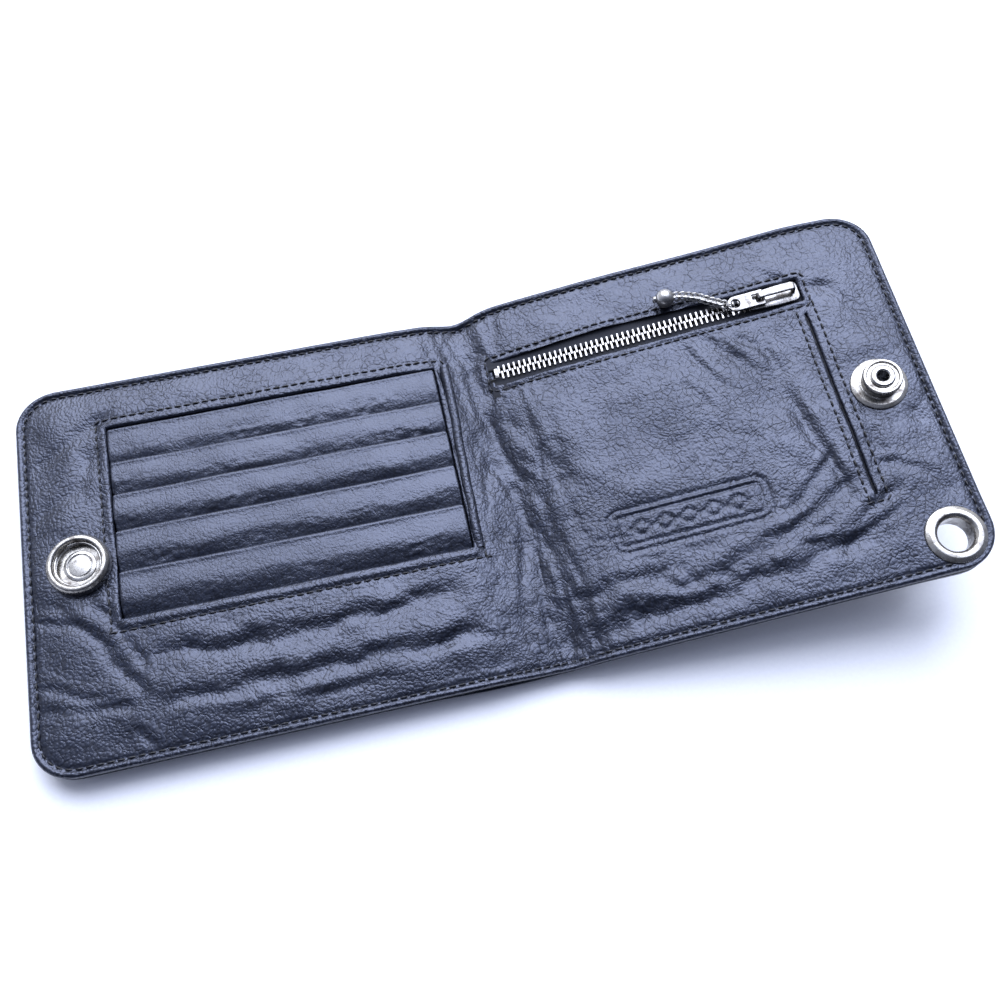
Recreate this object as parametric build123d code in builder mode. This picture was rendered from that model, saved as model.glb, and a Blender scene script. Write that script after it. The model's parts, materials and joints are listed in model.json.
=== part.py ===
from build123d import *

import os
from math import cos, radians, sin, tan

os.makedirs("parts", exist_ok=True)

# Folding chain wallet, lying open on a table.  Millimetres.
# +X runs across the open wallet, +Y towards the bill compartment's mouth, +Z up.
# The left panel lies level.  The right panel leans up about the fold line.
# Each panel is drawn in its own flat frame: u from the fold line, v along the
# fold, w up.  The left panel uses negative u.

# ---- Overall sizes ----
PANEL_WIDTH = 119.7  # fold line to outer edge
PANEL_HEIGHT = 105.0  # along the fold
CORNER_RADIUS = 10.5
REST_TILT = 10.0  # how far the right panel leans up, degrees
FLEX_HALF = 5.0  # the leather bends within this distance of the fold line
INNER_INSET = 0.6  # inner layers stop this far inside the cover's edge
SPINE_GAP = 0.1  # between the bending webs and the right panel's layers

# ---- Leather and cloth thicknesses ----
COVER_LEFT = 1.6
COVER_RIGHT = 1.5
LINING = 0.4
DIVIDER_LEFT = 0.8
DIVIDER_RIGHT = 0.6
BILL_GAP_LEFT = 0.3  # bill compartment, cut in the divider's outer face
BILL_GAP_RIGHT = 0.2
BILL_SEAM = 4.0  # closed margin of the bill compartment at three edges
BACKING = 0.4
CARD_LEATHER = 0.5
CARD_POCKETS = 5
FACE_LEFT = 1.1
FACE_RIGHT = 0.9
COIN_BAG = 0.8
SLIT_BAG = 0.3
TAPE = 0.3
SPINE_INNER = 0.9
SPINE_SAG = 1.8  # how far the cover's back stands above the table

# ---- Fold ----
CLOSED_GAP = 6.0  # between the two inner faces when the wallet is shut
AXIS_ABOVE_LEFT = 1.85

# ---- Card pockets ----
CARD_WINDOW_WIDTH = 90.6  # takes cards 85.6 wide
CARD_WINDOW_HEIGHT = 54.0
CARD_WINDOW_SPINE = 6.6  # window's edge to the fold line
CARD_WINDOW_TOP = 14.5  # window's edge to the panel's top edge
CARD_STEP = 10.0  # from one pocket's lip to the next
CARD_WING = 3.0  # pocket leather tucked under the face
WINDOW_CORNER = 2.0
ROLL_WIDTH = 3.2
ROLL_HEIGHT = 1.5

# ---- Zip ----
ZIP_TOP = 19.5  # the track's centre line to the panel's top edge
ZIP_START = 10.7
ZIP_END = 88.0
TOOTH_PITCH = 1.5
TOOTH_WIDTH = 0.62
TOOTH_LENGTH = 2.65
TOOTH_THICK = 1.3
TOOTH_HOOK = 0.35  # how far a tooth reaches past the centre line
TOOTH_GRIP = 0.8  # how far a tooth's legs reach over the tape
TAPE_WIDTH = 6.0
TAPE_TUCK = 1.0  # how far the lower tape reaches under the face
STOP_LENGTH = 1.2
STOP_GAP = 0.3
WINDOW_BELOW = 4.8  # zip window's lower edge under the centre line
WINDOW_MARGIN = 0.5  # zip window's upper edge above the slider
SLIDER_START = 82.3
SLIDER_LENGTH = 13.6
SLIDER_WIDTH = 6.0
SLIDER_TAIL = 4.9
SLIDER_CORNER = 1.6
SHOULDER_SHARE = 0.55  # where the wings reach full width, as a share of their length
SLIDER_TOP = 0.7
SLIDER_BOTTOM = 0.35
SLIDER_LIP = 0.4
SLIDE_CLEAR = 0.15
DIAMOND_LENGTH = 2.4
DIAMOND_WIDTH = 1.8
CROWN_HEIGHT = 3.0
CROWN_BAND = 0.8
CROWN_WIDTH = 1.8
CROWN_INSET = 1.9  # from the slider's tail to the crown

# ---- Pull ----
TAB_LENGTH = 9.8
TAB_WIDTH = 4.4
TAB_THICK = 0.9
TAB_CLEAR = 0.5
TAB_HOLE = 1.4
TAB_EYE_EDGE = 0.7
LINK_RADIUS = 1.2
LINK_WIRE = 0.25
CHAIN_RADIUS = 1.0
BALL_RADIUS = 2.6
BALL_AHEAD = 22.0  # from the slider's tail, along the track
BALL_ABOVE = 6.9  # from the track's centre line
CHAIN_BEND_AHEAD = 13.1
CHAIN_BEND_ABOVE = 5.3
BEAD_RADIUS = 0.9
LAY_CLEAR = 0.25  # between the ball and the leather it lies on

# ---- Snap fastener ----
SNAP_INSET = 13.5  # snap's centre to the panel's outer edge
SNAP_POST = 2.0
SOCKET_RADIUS = 8.0
SOCKET_OPENING = 6.0
SOCKET_FLOOR = 0.3
SOCKET_RISE = 3.3
RIVET_RADIUS = 4.0
RIVET_THICK = 0.4
STUD_FLANGE = 7.25
STUD_FLANGE_THICK = 0.7
STUD_HEAD = 5.25
STUD_HEAD_THICK = 1.5
STUD_NECK = 4.4
STUD_CUP = 4.0
STUD_CUP_DEPTH = 0.5
STUD_RING = 3.15
STUD_TOP_CLEAR = 0.3
SPRING_WIRE = 0.4
SPRING_BITE = 0.1  # how far the spring reaches inside the stud's head
SPRING_ROOM = 0.4  # groove depth left for the spring to open
CAP_RADIUS = 7.6
CAP_EDGE = 0.6
POST_BORE = 1.9
POST_WALL = 0.4
POST_FLANGE = 6.0
POST_FLANGE_THICK = 0.5
FIT = 0.05  # between a metal post and its hole

# ---- Chain eyelet ----
EYELET_INSET = (9.3, 8.9)  # centre to the panel's outer and bottom edges
EYELET_BORE = 4.25
EYELET_WALL = 0.45
EYELET_FLANGE = 7.5
EYELET_RISE = 1.0
WASHER_THICK = 0.5

# ---- Pocket bags ----
COIN_BAG_BASE = 10.5  # bottom of the coin pocket to the panel's bottom edge
COIN_BAG_SIDE = 0.5
SLIT_U = 95.7
SLIT_BASE = 23.8  # the slit's lower end to the panel's bottom edge
SLIT_WIDTH = 1.0
SLIT_FACING = 2.6
SLIT_BAG_DEPTH = 80.0
POCKET_SPACE_U = (8.0, 98.6)
POCKET_SPACE_BASE = 9.5
POCKET_SPACE_TOP = 11.5

# ---- Places worked out from the panel's edges ----
top_v = PANEL_HEIGHT / 2
bottom_v = -PANEL_HEIGHT / 2
card_window_u = (-CARD_WINDOW_SPINE - CARD_WINDOW_WIDTH, -CARD_WINDOW_SPINE)
card_window_v = (top_v - CARD_WINDOW_TOP - CARD_WINDOW_HEIGHT, top_v - CARD_WINDOW_TOP)
zip_v = top_v - ZIP_TOP
snap_u = PANEL_WIDTH - SNAP_INSET
eyelet_at = (PANEL_WIDTH - EYELET_INSET[0], bottom_v + EYELET_INSET[1])
ball_at = (SLIDER_START - BALL_AHEAD, zip_v + BALL_ABOVE)
chain_bend_at = (SLIDER_START - CHAIN_BEND_AHEAD, zip_v + CHAIN_BEND_ABOVE)
pocket_space_v = (bottom_v + POCKET_SPACE_BASE, top_v - POCKET_SPACE_TOP)

# ---- Heights of the layers, each its lower face ----
left_cover_w = SPINE_SAG
left_lining_w = left_cover_w + COVER_LEFT
left_divider_w = left_lining_w + LINING
left_backing_w = left_divider_w + DIVIDER_LEFT
left_pocket_w = left_backing_w + BACKING
left_face_w = left_pocket_w + CARD_POCKETS * CARD_LEATHER
left_top_w = left_face_w + FACE_LEFT

axis_w = left_top_w + AXIS_ABOVE_LEFT
right_top_w = axis_w - (CLOSED_GAP - AXIS_ABOVE_LEFT)
right_face_w = right_top_w - FACE_RIGHT
right_tape_w = right_face_w - TAPE
right_slit_w = right_tape_w - SLIT_BAG
right_coin_w = right_slit_w - COIN_BAG
right_divider_w = right_coin_w - DIVIDER_RIGHT
right_lining_w = right_divider_w - LINING
right_cover_w = right_lining_w - COVER_RIGHT

# ---- Frames ----
LEFT = Plane.XY
RIGHT = Plane(
    origin=(axis_w * sin(radians(REST_TILT)), 0, axis_w * (1 - cos(radians(REST_TILT)))),
    x_dir=(cos(radians(REST_TILT)), 0, sin(radians(REST_TILT))),
    z_dir=(-sin(radians(REST_TILT)), 0, cos(radians(REST_TILT))),
)
eyelet_hole = EYELET_BORE + EYELET_WALL + FIT
stud_post = POST_BORE + POST_WALL
snap_hole_left = SNAP_POST + FIT
snap_hole_right = stud_post + FIT


def upright(panel, u, v, w):
    """The plane square to the panel through (u, v): x along u, y along the normal."""
    return Plane(origin=panel.from_local_coords((u, v, w)), x_dir=panel.x_dir, z_dir=-panel.y_dir)


def normal_axis(panel, u, v):
    """The line through (u, v) square to the panel."""
    return Axis(panel.from_local_coords((u, v, 0)), panel.z_dir)


def panel_outline(side, inset=0.0):
    """Draws one rigid panel's outline, with its two outer corners rounded."""
    width = PANEL_WIDTH - FLEX_HALF - inset
    with Locations((side * (FLEX_HALF + width / 2), 0)):
        Rectangle(width, PANEL_HEIGHT - 2 * inset)
    outer = vertices().sort_by(Axis.X)[-2:] if side > 0 else vertices().sort_by(Axis.X)[:2]
    fillet(outer, CORNER_RADIUS - inset)


def window(u_range, v_range, mode=Mode.SUBTRACT):
    """Adds or cuts a rectangle given by its u and v ranges."""
    with Locations((sum(u_range) / 2, sum(v_range) / 2)):
        Rectangle(u_range[1] - u_range[0], v_range[1] - v_range[0], mode=mode)


def left_holes():
    """Cuts the snap post's hole in a left layer."""
    with Locations((-snap_u, 0)):
        Circle(snap_hole_left, mode=Mode.SUBTRACT)


def right_holes():
    """Cuts the snap post's and the eyelet's holes in a right layer."""
    with Locations((snap_u, 0)):
        Circle(snap_hole_right, mode=Mode.SUBTRACT)
    with Locations(eyelet_at):
        Circle(eyelet_hole, mode=Mode.SUBTRACT)


def finish(builder, name):
    """Labels a finished piece and writes its STEP file."""
    builder.part.label = name
    export_step(builder.part, f"parts/{name}.step")


# ==== Left panel ====
with BuildPart() as outer_cover_left:
    with BuildSketch(LEFT.offset(left_cover_w)):
        panel_outline(-1)
        left_holes()
    extrude(amount=COVER_LEFT)
finish(outer_cover_left, "outer_cover_left")

with BuildPart() as cover_lining_left:
    with BuildSketch(LEFT.offset(left_lining_w)):
        panel_outline(-1, INNER_INSET)
        left_holes()
    extrude(amount=LINING)
finish(cover_lining_left, "cover_lining_left")

bill_v = (bottom_v + BILL_SEAM, top_v)
with BuildPart() as divider_left:
    with BuildSketch(LEFT.offset(left_divider_w)):
        panel_outline(-1, INNER_INSET)
        left_holes()
    extrude(amount=DIVIDER_LEFT)
    with BuildSketch(LEFT.offset(left_divider_w)):
        window((-snap_u + CAP_RADIUS, -FLEX_HALF), bill_v, Mode.ADD)
    extrude(amount=BILL_GAP_LEFT, mode=Mode.SUBTRACT)
finish(divider_left, "divider_left")

with BuildPart() as slip_pocket_backing:
    with BuildSketch(LEFT.offset(left_backing_w)):
        panel_outline(-1, INNER_INSET)
        left_holes()
    extrude(amount=BACKING)
finish(slip_pocket_backing, "slip_pocket_backing")

# The pockets' leather lies in steps.  Pocket 1 has the highest lip and lies lowest.
pocket_u = (card_window_u[0] - CARD_WING, -FLEX_HALF)
pocket_low_v = card_window_v[0] - CARD_WING
pocket_lip_v = [card_window_v[1] - CARD_STEP * k for k in range(CARD_POCKETS)]
for k, lip_v in enumerate(pocket_lip_v):
    with BuildPart() as card_pocket:
        with BuildSketch(LEFT.offset(left_pocket_w + k * CARD_LEATHER)):
            window(pocket_u, (pocket_low_v, lip_v), Mode.ADD)
        extrude(amount=CARD_LEATHER)
    finish(card_pocket, f"card_pocket_{k + 1}")

with BuildPart() as side_filler_left:
    with BuildSketch(LEFT.offset(left_pocket_w)):
        panel_outline(-1, INNER_INSET)
        window(pocket_u, (pocket_low_v, card_window_v[1]))
        left_holes()
    extrude(amount=CARD_POCKETS * CARD_LEATHER)
finish(side_filler_left, "side_filler_left")

with BuildPart() as inner_face_left:
    with BuildSketch(LEFT.offset(left_face_w)):
        panel_outline(-1, INNER_INSET)
        left_holes()
    extrude(amount=FACE_LEFT)
    with BuildSketch(LEFT.offset(left_face_w)) as card_window:
        window(card_window_u, card_window_v, Mode.ADD)
        fillet(card_window.vertices(), WINDOW_CORNER)
    extrude(amount=FACE_LEFT, mode=Mode.SUBTRACT)
finish(inner_face_left, "inner_face_left")

# ==== Right panel ====
slider_v = (zip_v - SLIDER_WIDTH / 2, zip_v + SLIDER_WIDTH / 2)
zip_window_u = (ZIP_START - STOP_LENGTH - 2 * STOP_GAP, SLIDER_START + SLIDER_LENGTH + WINDOW_MARGIN)
zip_window_v = (zip_v - WINDOW_BELOW, slider_v[1] + WINDOW_MARGIN)
tape_low_v = zip_window_v[0] - TAPE_TUCK  # the lower tape's edge, under the face

with BuildPart() as outer_cover_right:
    with BuildSketch(RIGHT.offset(right_cover_w)):
        panel_outline(1)
        right_holes()
    extrude(amount=COVER_RIGHT)
finish(outer_cover_right, "outer_cover_right")

with BuildPart() as cover_lining_right:
    with BuildSketch(RIGHT.offset(right_lining_w)):
        panel_outline(1, INNER_INSET)
        right_holes()
    extrude(amount=LINING)
finish(cover_lining_right, "cover_lining_right")

with BuildPart() as divider_right:
    with BuildSketch(RIGHT.offset(right_divider_w)):
        panel_outline(1, INNER_INSET)
        right_holes()
    extrude(amount=DIVIDER_RIGHT)
    with BuildSketch(RIGHT.offset(right_divider_w)):
        window((FLEX_HALF, snap_u - CAP_RADIUS), bill_v, Mode.ADD)
    extrude(amount=BILL_GAP_RIGHT, mode=Mode.SUBTRACT)
finish(divider_right, "divider_right")

with BuildPart() as filler_right:
    with BuildSketch(RIGHT.offset(right_coin_w)):
        panel_outline(1, INNER_INSET)
        window(POCKET_SPACE_U, pocket_space_v)
        right_holes()
    extrude(amount=right_face_w - right_coin_w)
finish(filler_right, "filler_right")

coin_bag_u = (zip_window_u[0] + COIN_BAG_SIDE, zip_window_u[1] - COIN_BAG_SIDE)
coin_bag_top_v = slider_v[0] - WINDOW_MARGIN
with BuildPart() as coin_pocket_bag:
    with BuildSketch(RIGHT.offset(right_coin_w)):
        window(coin_bag_u, (bottom_v + COIN_BAG_BASE, coin_bag_top_v), Mode.ADD)
    extrude(amount=COIN_BAG)
    with BuildSketch(RIGHT.offset(right_slit_w)):
        window(coin_bag_u, (tape_low_v, coin_bag_top_v), Mode.ADD)
    extrude(amount=SLIT_BAG)
finish(coin_pocket_bag, "coin_pocket_bag")

with BuildPart() as slit_pocket_bag:
    with BuildSketch(RIGHT.offset(right_slit_w)):
        slit_bag_u = (SLIT_U + SLIT_FACING - SLIT_BAG_DEPTH, SLIT_U + SLIT_FACING)
        window(slit_bag_u, (bottom_v + SLIT_BASE - SLIT_FACING, tape_low_v), Mode.ADD)
    extrude(amount=SLIT_BAG)
finish(slit_pocket_bag, "slit_pocket_bag")

slit_u = (SLIT_U - SLIT_WIDTH / 2, SLIT_U + SLIT_WIDTH / 2)
slit_v = (bottom_v + SLIT_BASE, zip_window_v[0] - SLIT_FACING)
with BuildPart() as slit_facing:
    with BuildSketch(RIGHT.offset(right_tape_w)):
        facing_u = (SLIT_U - SLIT_FACING, SLIT_U + SLIT_FACING)
        window(facing_u, (bottom_v + SLIT_BASE - SLIT_FACING, tape_low_v), Mode.ADD)
        window(slit_u, slit_v)
    extrude(amount=TAPE)
finish(slit_facing, "slit_facing")

with BuildPart() as inner_face_right:
    with BuildSketch(RIGHT.offset(right_face_w)):
        panel_outline(1, INNER_INSET)
        window(zip_window_u, zip_window_v)
        window(slit_u, slit_v)
        right_holes()
    extrude(amount=FACE_RIGHT)
finish(inner_face_right, "inner_face_right")

# ==== Spine webs ====
# A web is drawn across the fold and runs the wallet's whole height.  Its left
# end meets a left layer, and its right end stops SPINE_GAP short of a right one.


def web_end(w):
    """Where a height in the right panel's frame meets the webs' right end, as (x, z)."""
    point = RIGHT.from_local_coords((FLEX_HALF - SPINE_GAP, 0, w))
    return point.X, point.Z


def sagging_web(left_w, right_w, thickness_left, thickness_right, low_w, thickness_low):
    """A web's section: it sags to low_w at the fold line between its two ends."""
    with BuildSketch() as web:
        with BuildLine():
            lower_left = TangentArc((0, low_w), (-FLEX_HALF, left_w), tangent=(-1, 0))
            lower_right = TangentArc((0, low_w), web_end(right_w), tangent=(1, 0))
            top_low = (0, low_w + thickness_low)
            upper_left = TangentArc(top_low, (-FLEX_HALF, left_w + thickness_left), tangent=(-1, 0))
            upper_right = TangentArc(top_low, web_end(right_w + thickness_right), tangent=(1, 0))
            Line(lower_left @ 1, upper_left @ 1)
            Line(lower_right @ 1, upper_right @ 1)
        make_face()
    return web.sketch_local


with BuildPart() as outer_spine:
    with BuildSketch(Plane.XZ):
        add(sagging_web(left_cover_w, right_cover_w, COVER_LEFT, COVER_RIGHT, 0, COVER_LEFT))
    extrude(amount=PANEL_HEIGHT / 2, both=True)
finish(outer_spine, "outer_spine")

with BuildPart() as spine_lining:
    with BuildSketch(Plane.XZ):
        add(sagging_web(left_lining_w, right_lining_w, LINING, LINING, COVER_LEFT, LINING))
    extrude(amount=PANEL_HEIGHT / 2 - INNER_INSET, both=True)
finish(spine_lining, "spine_lining")

with BuildPart() as divider_spine:
    with BuildSketch(Plane.XZ):
        with BuildLine():
            Polyline(
                (-FLEX_HALF, left_divider_w),
                (-FLEX_HALF, left_backing_w),
                web_end(right_coin_w),
                web_end(right_divider_w),
                close=True,
            )
        make_face()
    extrude(amount=PANEL_HEIGHT / 2 - INNER_INSET, both=True)
finish(divider_spine, "divider_spine")

roll_base_w = left_top_w - FACE_LEFT / 2
roll_u = (-FLEX_HALF, -FLEX_HALF + ROLL_WIDTH)
with BuildPart() as inner_spine:
    with BuildSketch(Plane.XZ):
        with BuildLine():
            Polyline(
                (-FLEX_HALF, roll_base_w),
                (roll_u[1], roll_base_w),
                web_end(right_top_w),
                web_end(right_face_w),
                (roll_u[1], roll_base_w - SPINE_INNER),
                (-FLEX_HALF, roll_base_w - SPINE_INNER),
                close=True,
            )
        make_face()
    extrude(amount=PANEL_HEIGHT / 2 - INNER_INSET, both=True)
finish(inner_spine, "inner_spine")

# The slip pocket's rolled edge lies along the card window, on the spine's leather.
with BuildPart() as slip_pocket_roll:
    with BuildSketch(Plane.XZ.offset(-card_window_v[1])) as roll_section:
        window(roll_u, (roll_base_w, roll_base_w + ROLL_HEIGHT), Mode.ADD)
        fillet(roll_section.vertices().group_by(Axis.Y)[-1], ROLL_HEIGHT / 2)
    extrude(amount=card_window_v[1] - card_window_v[0])
finish(slip_pocket_roll, "slip_pocket_roll")

# ==== Zip ====
tape_mid_w = right_tape_w + TAPE / 2
tape_edge = TOOTH_LENGTH - TOOTH_HOOK - TOOTH_GRIP  # tape's inner edge from the centre line
tape_u = (zip_window_u[0], POCKET_SPACE_U[1] - COIN_BAG_SIDE)

for name, side in (("upper", 1), ("lower", -1)):
    with BuildPart() as zip_tape:
        with BuildSketch(RIGHT.offset(right_tape_w)) as tape_plan:
            inner = zip_v + side * tape_edge
            # The lower tape stops at the slit's facing.
            width = TAPE_WIDTH if side > 0 else inner - (tape_low_v)
            with Locations((sum(tape_u) / 2, inner + side * width / 2)):
                Rectangle(tape_u[1] - tape_u[0], width)
        extrude(amount=TAPE)
    finish(zip_tape, f"zip_tape_{name}")

tape_grip = tape_edge + TOOTH_GRIP  # outer end of the teeth and stops


def across_track(u):
    """The plane across the zip's track at u: x along v, y along the normal."""
    return Plane(
        origin=RIGHT.from_local_coords((u, zip_v, tape_mid_w)),
        x_dir=RIGHT.y_dir,
        z_dir=RIGHT.x_dir,
    )


def clamp_section(side, inner):
    """Draws a tooth or stop from inner to the grip's end, slotted for the tape."""
    with Locations((side * (inner + tape_grip) / 2, 0)):
        Rectangle(tape_grip - inner, TOOTH_THICK)
    with Locations((side * (tape_edge + TOOTH_GRIP / 2), 0)):
        Rectangle(TOOTH_GRIP, TAPE, mode=Mode.SUBTRACT)


tooth_count = int((ZIP_END - ZIP_START) / TOOTH_PITCH)
for name, side, shift in (("upper", 1, 0.5), ("lower", -1, 0.0)):
    with BuildPart() as zip_teeth:
        for k in range(tooth_count):
            with BuildSketch(across_track(ZIP_START + (k + shift) * TOOTH_PITCH)):
                clamp_section(side, -TOOTH_HOOK)
            extrude(amount=TOOTH_WIDTH)
    finish(zip_teeth, f"zip_teeth_{name}")

# The stops pass each side of the slider's diamond, in its mouth.
stop_start = ZIP_START + (tooth_count + 1) * TOOTH_PITCH
with BuildPart() as zip_top_stops:
    for side in (1, -1):
        with BuildSketch(across_track(stop_start)):
            clamp_section(side, DIAMOND_WIDTH / 2 + SLIDE_CLEAR)
        extrude(amount=STOP_LENGTH)
finish(zip_top_stops, "zip_top_stops")

with BuildPart() as zip_bottom_stop:
    with BuildSketch(RIGHT.offset(tape_mid_w - TOOTH_THICK / 2)):
        with Locations((ZIP_START - STOP_GAP - STOP_LENGTH / 2, zip_v)):
            Rectangle(STOP_LENGTH, 2 * tape_edge)
    extrude(amount=TOOTH_THICK)
finish(zip_bottom_stop, "zip_bottom_stop")

# The slider's two wings are joined by the diamond post at its mouth.
slider_end = SLIDER_START + SLIDER_LENGTH
channel_w = (tape_mid_w - TOOTH_THICK / 2 - SLIDE_CLEAR, tape_mid_w + TOOTH_THICK / 2 + SLIDE_CLEAR)
slot_w = (tape_mid_w - TAPE / 2 - SLIDE_CLEAR, tape_mid_w + TAPE / 2 + SLIDE_CLEAR)
crown_u = (SLIDER_START + CROWN_INSET, slider_end - DIAMOND_LENGTH / 2)
crown_top_w = channel_w[1] + SLIDER_TOP + CROWN_HEIGHT


def wing_plan():
    """Draws a slider wing: a taper from its tail to its shoulders."""
    shoulder_u = SLIDER_START + SLIDER_LENGTH * SHOULDER_SHARE
    corners = (
        (SLIDER_START, zip_v - SLIDER_TAIL / 2),
        (shoulder_u, slider_v[0]),
        (slider_end, slider_v[0]),
        (slider_end, slider_v[1]),
        (shoulder_u, slider_v[1]),
        (SLIDER_START, zip_v + SLIDER_TAIL / 2),
    )
    Polygon(*corners, align=None)
    fillet(vertices().sort_by(Axis.X)[-2:], SLIDER_CORNER)


def lip_plan():
    """Draws the two lips that turn in along a wing's straight sides."""
    lip_u = (SLIDER_START + SLIDER_LENGTH * SHOULDER_SHARE, slider_end - SLIDER_CORNER)
    for v in slider_v:
        inward = SLIDER_LIP if v == slider_v[0] else -SLIDER_LIP
        window(lip_u, tuple(sorted((v, v + inward))), Mode.ADD)


with BuildPart() as zip_slider:
    with BuildSketch(RIGHT.offset(channel_w[0] - SLIDER_BOTTOM)):
        wing_plan()
    extrude(amount=SLIDER_BOTTOM)
    with BuildSketch(RIGHT.offset(channel_w[1])):
        wing_plan()
    extrude(amount=SLIDER_TOP)
    with BuildSketch(RIGHT.offset(channel_w[0])):
        lip_plan()
    extrude(amount=slot_w[0] - channel_w[0])
    with BuildSketch(RIGHT.offset(slot_w[1])):
        lip_plan()
    extrude(amount=channel_w[1] - slot_w[1])
    with BuildSketch(RIGHT.offset(channel_w[0])):
        with Locations((slider_end - DIAMOND_LENGTH / 2, zip_v)):
            Rectangle(DIAMOND_LENGTH, DIAMOND_WIDTH)
    extrude(amount=channel_w[1] - channel_w[0])
    # The crown is a low bridge along the top wing; the tab's bar lies under it.
    with BuildSketch(upright(RIGHT, 0, zip_v, 0)) as crown_section:
        window(crown_u, (channel_w[1] + SLIDER_TOP, crown_top_w), Mode.ADD)
        fillet(crown_section.vertices().group_by(Axis.Y)[-1], CROWN_BAND)
        opening_u = (crown_u[0] + CROWN_BAND, crown_u[1] - CROWN_BAND)
        window(opening_u, (channel_w[1] + SLIDER_TOP, crown_top_w - CROWN_BAND))
    extrude(amount=CROWN_WIDTH / 2, both=True)
finish(zip_slider, "zip_slider")

# ==== Pull ====
bar_radius = TAB_THICK / 2
bar_u = crown_u[0] + CROWN_BAND + TAB_CLEAR + bar_radius
tab_w = channel_w[1] + SLIDER_TOP + (CROWN_HEIGHT - CROWN_BAND) / 2
crown_reach = ((bar_u - crown_u[0]) ** 2 + (crown_top_w - tab_w) ** 2) ** 0.5
slot_end_u = bar_u - crown_reach - TAB_CLEAR
tab_end_u = bar_u - TAB_LENGTH
eye_u = tab_end_u + TAB_EYE_EDGE + TAB_HOLE

with BuildPart() as pull_tab:
    with BuildSketch(RIGHT.offset(tab_w - TAB_THICK / 2)) as tab_plan:
        window((tab_end_u, bar_u), (zip_v - TAB_WIDTH / 2, zip_v + TAB_WIDTH / 2), Mode.ADD)
        fillet(tab_plan.vertices().sort_by(Axis.X)[:2], TAB_WIDTH / 2 - FIT)
        slot_half = CROWN_WIDTH / 2 + TAB_CLEAR
        window((slot_end_u, bar_u), (zip_v - slot_half, zip_v + slot_half))
        with Locations((eye_u, zip_v)):
            Circle(TAB_HOLE, mode=Mode.SUBTRACT)
    extrude(amount=TAB_THICK)
    with BuildSketch(upright(RIGHT, bar_u, zip_v, tab_w)):
        Circle(bar_radius)
    extrude(amount=TAB_WIDTH / 2, both=True)
finish(pull_tab, "pull_tab")

# The link passes through the tab's eye, its plane along the chain's first run.
link_u = tab_end_u + TAB_EYE_EDGE / 2
to_bend = Vector(chain_bend_at[0] - link_u, chain_bend_at[1] - zip_v, 0).normalized()
link_at = RIGHT.from_local_coords((link_u, zip_v, tab_w))
along_chain = RIGHT.x_dir * to_bend.X + RIGHT.y_dir * to_bend.Y
with BuildPart() as pull_link:
    link_edge = link_at + along_chain * LINK_RADIUS
    with BuildSketch(Plane(origin=link_edge, x_dir=along_chain, z_dir=RIGHT.z_dir)):
        Circle(LINK_WIRE)
    link_normal = along_chain.cross(RIGHT.z_dir)
    revolve(axis=Axis(link_at, link_normal), revolution_arc=360)
finish(pull_link, "pull_link")

ball_w = right_top_w + LAY_CLEAR + BALL_RADIUS
chain_start = LINK_RADIUS + LINK_WIRE + LAY_CLEAR
chain_start_at = (link_u + to_bend.X * chain_start, zip_v + to_bend.Y * chain_start)
to_ball = Vector(ball_at[0] - chain_bend_at[0], ball_at[1] - chain_bend_at[1], 0).normalized()
chain_end_at = (ball_at[0] - to_ball.X * BALL_RADIUS, ball_at[1] - to_ball.Y * BALL_RADIUS)
chain_points = [
    RIGHT.from_local_coords((*chain_start_at, tab_w)),
    RIGHT.from_local_coords((*chain_bend_at, (tab_w + ball_w) / 2)),
    RIGHT.from_local_coords((*chain_end_at, ball_w)),
]
first_run = chain_points[1] - chain_points[0]
last_run = chain_points[2] - chain_points[1]
half_turn = radians(first_run.get_angle(last_run)) / 2
bend_radius = 0.45 * min(first_run.length, last_run.length) / tan(half_turn)
print("chain bend radius", round(bend_radius, 2), "length", round(first_run.length + last_run.length, 2))
with BuildPart() as pull_chain:
    with BuildLine() as route:
        FilletPolyline(*chain_points, radius=bend_radius)
    with BuildSketch(Plane(origin=chain_points[0], z_dir=first_run)):
        Circle(CHAIN_RADIUS)
    sweep(path=route.line)
finish(pull_chain, "pull_chain")

# The ball is bored to half its depth for the chain's end, and a bead closes it.
ball_centre = RIGHT.from_local_coords((*ball_at, ball_w))
ball_axis = RIGHT.x_dir * to_ball.X + RIGHT.y_dir * to_ball.Y
with BuildPart() as pull_ball:
    with BuildSketch(Plane(origin=ball_centre, x_dir=ball_axis, z_dir=RIGHT.z_dir)) as ball_section:
        Circle(BALL_RADIUS)
        with Locations((0, -BALL_RADIUS)):
            Rectangle(2 * BALL_RADIUS, 2 * BALL_RADIUS, mode=Mode.SUBTRACT)
        with Locations((BALL_RADIUS, 0), (-BALL_RADIUS, 0)):
            Rectangle(4 * FIT, 2 * BEAD_RADIUS, mode=Mode.SUBTRACT)
    revolve(axis=Axis(ball_centre, ball_axis))
finish(pull_ball, "pull_ball")

with BuildPart() as ball_bead:
    with BuildSketch(Plane(origin=ball_centre + ball_axis * (BALL_RADIUS - 2 * FIT), z_dir=ball_axis)):
        Circle(BEAD_RADIUS)
    extrude(amount=BEAD_RADIUS)
    fillet(edges().filter_by(GeomType.CIRCLE).sort_by(Axis(ball_centre, ball_axis))[-1], BEAD_RADIUS / 2)
finish(ball_bead, "ball_bead")

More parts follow.
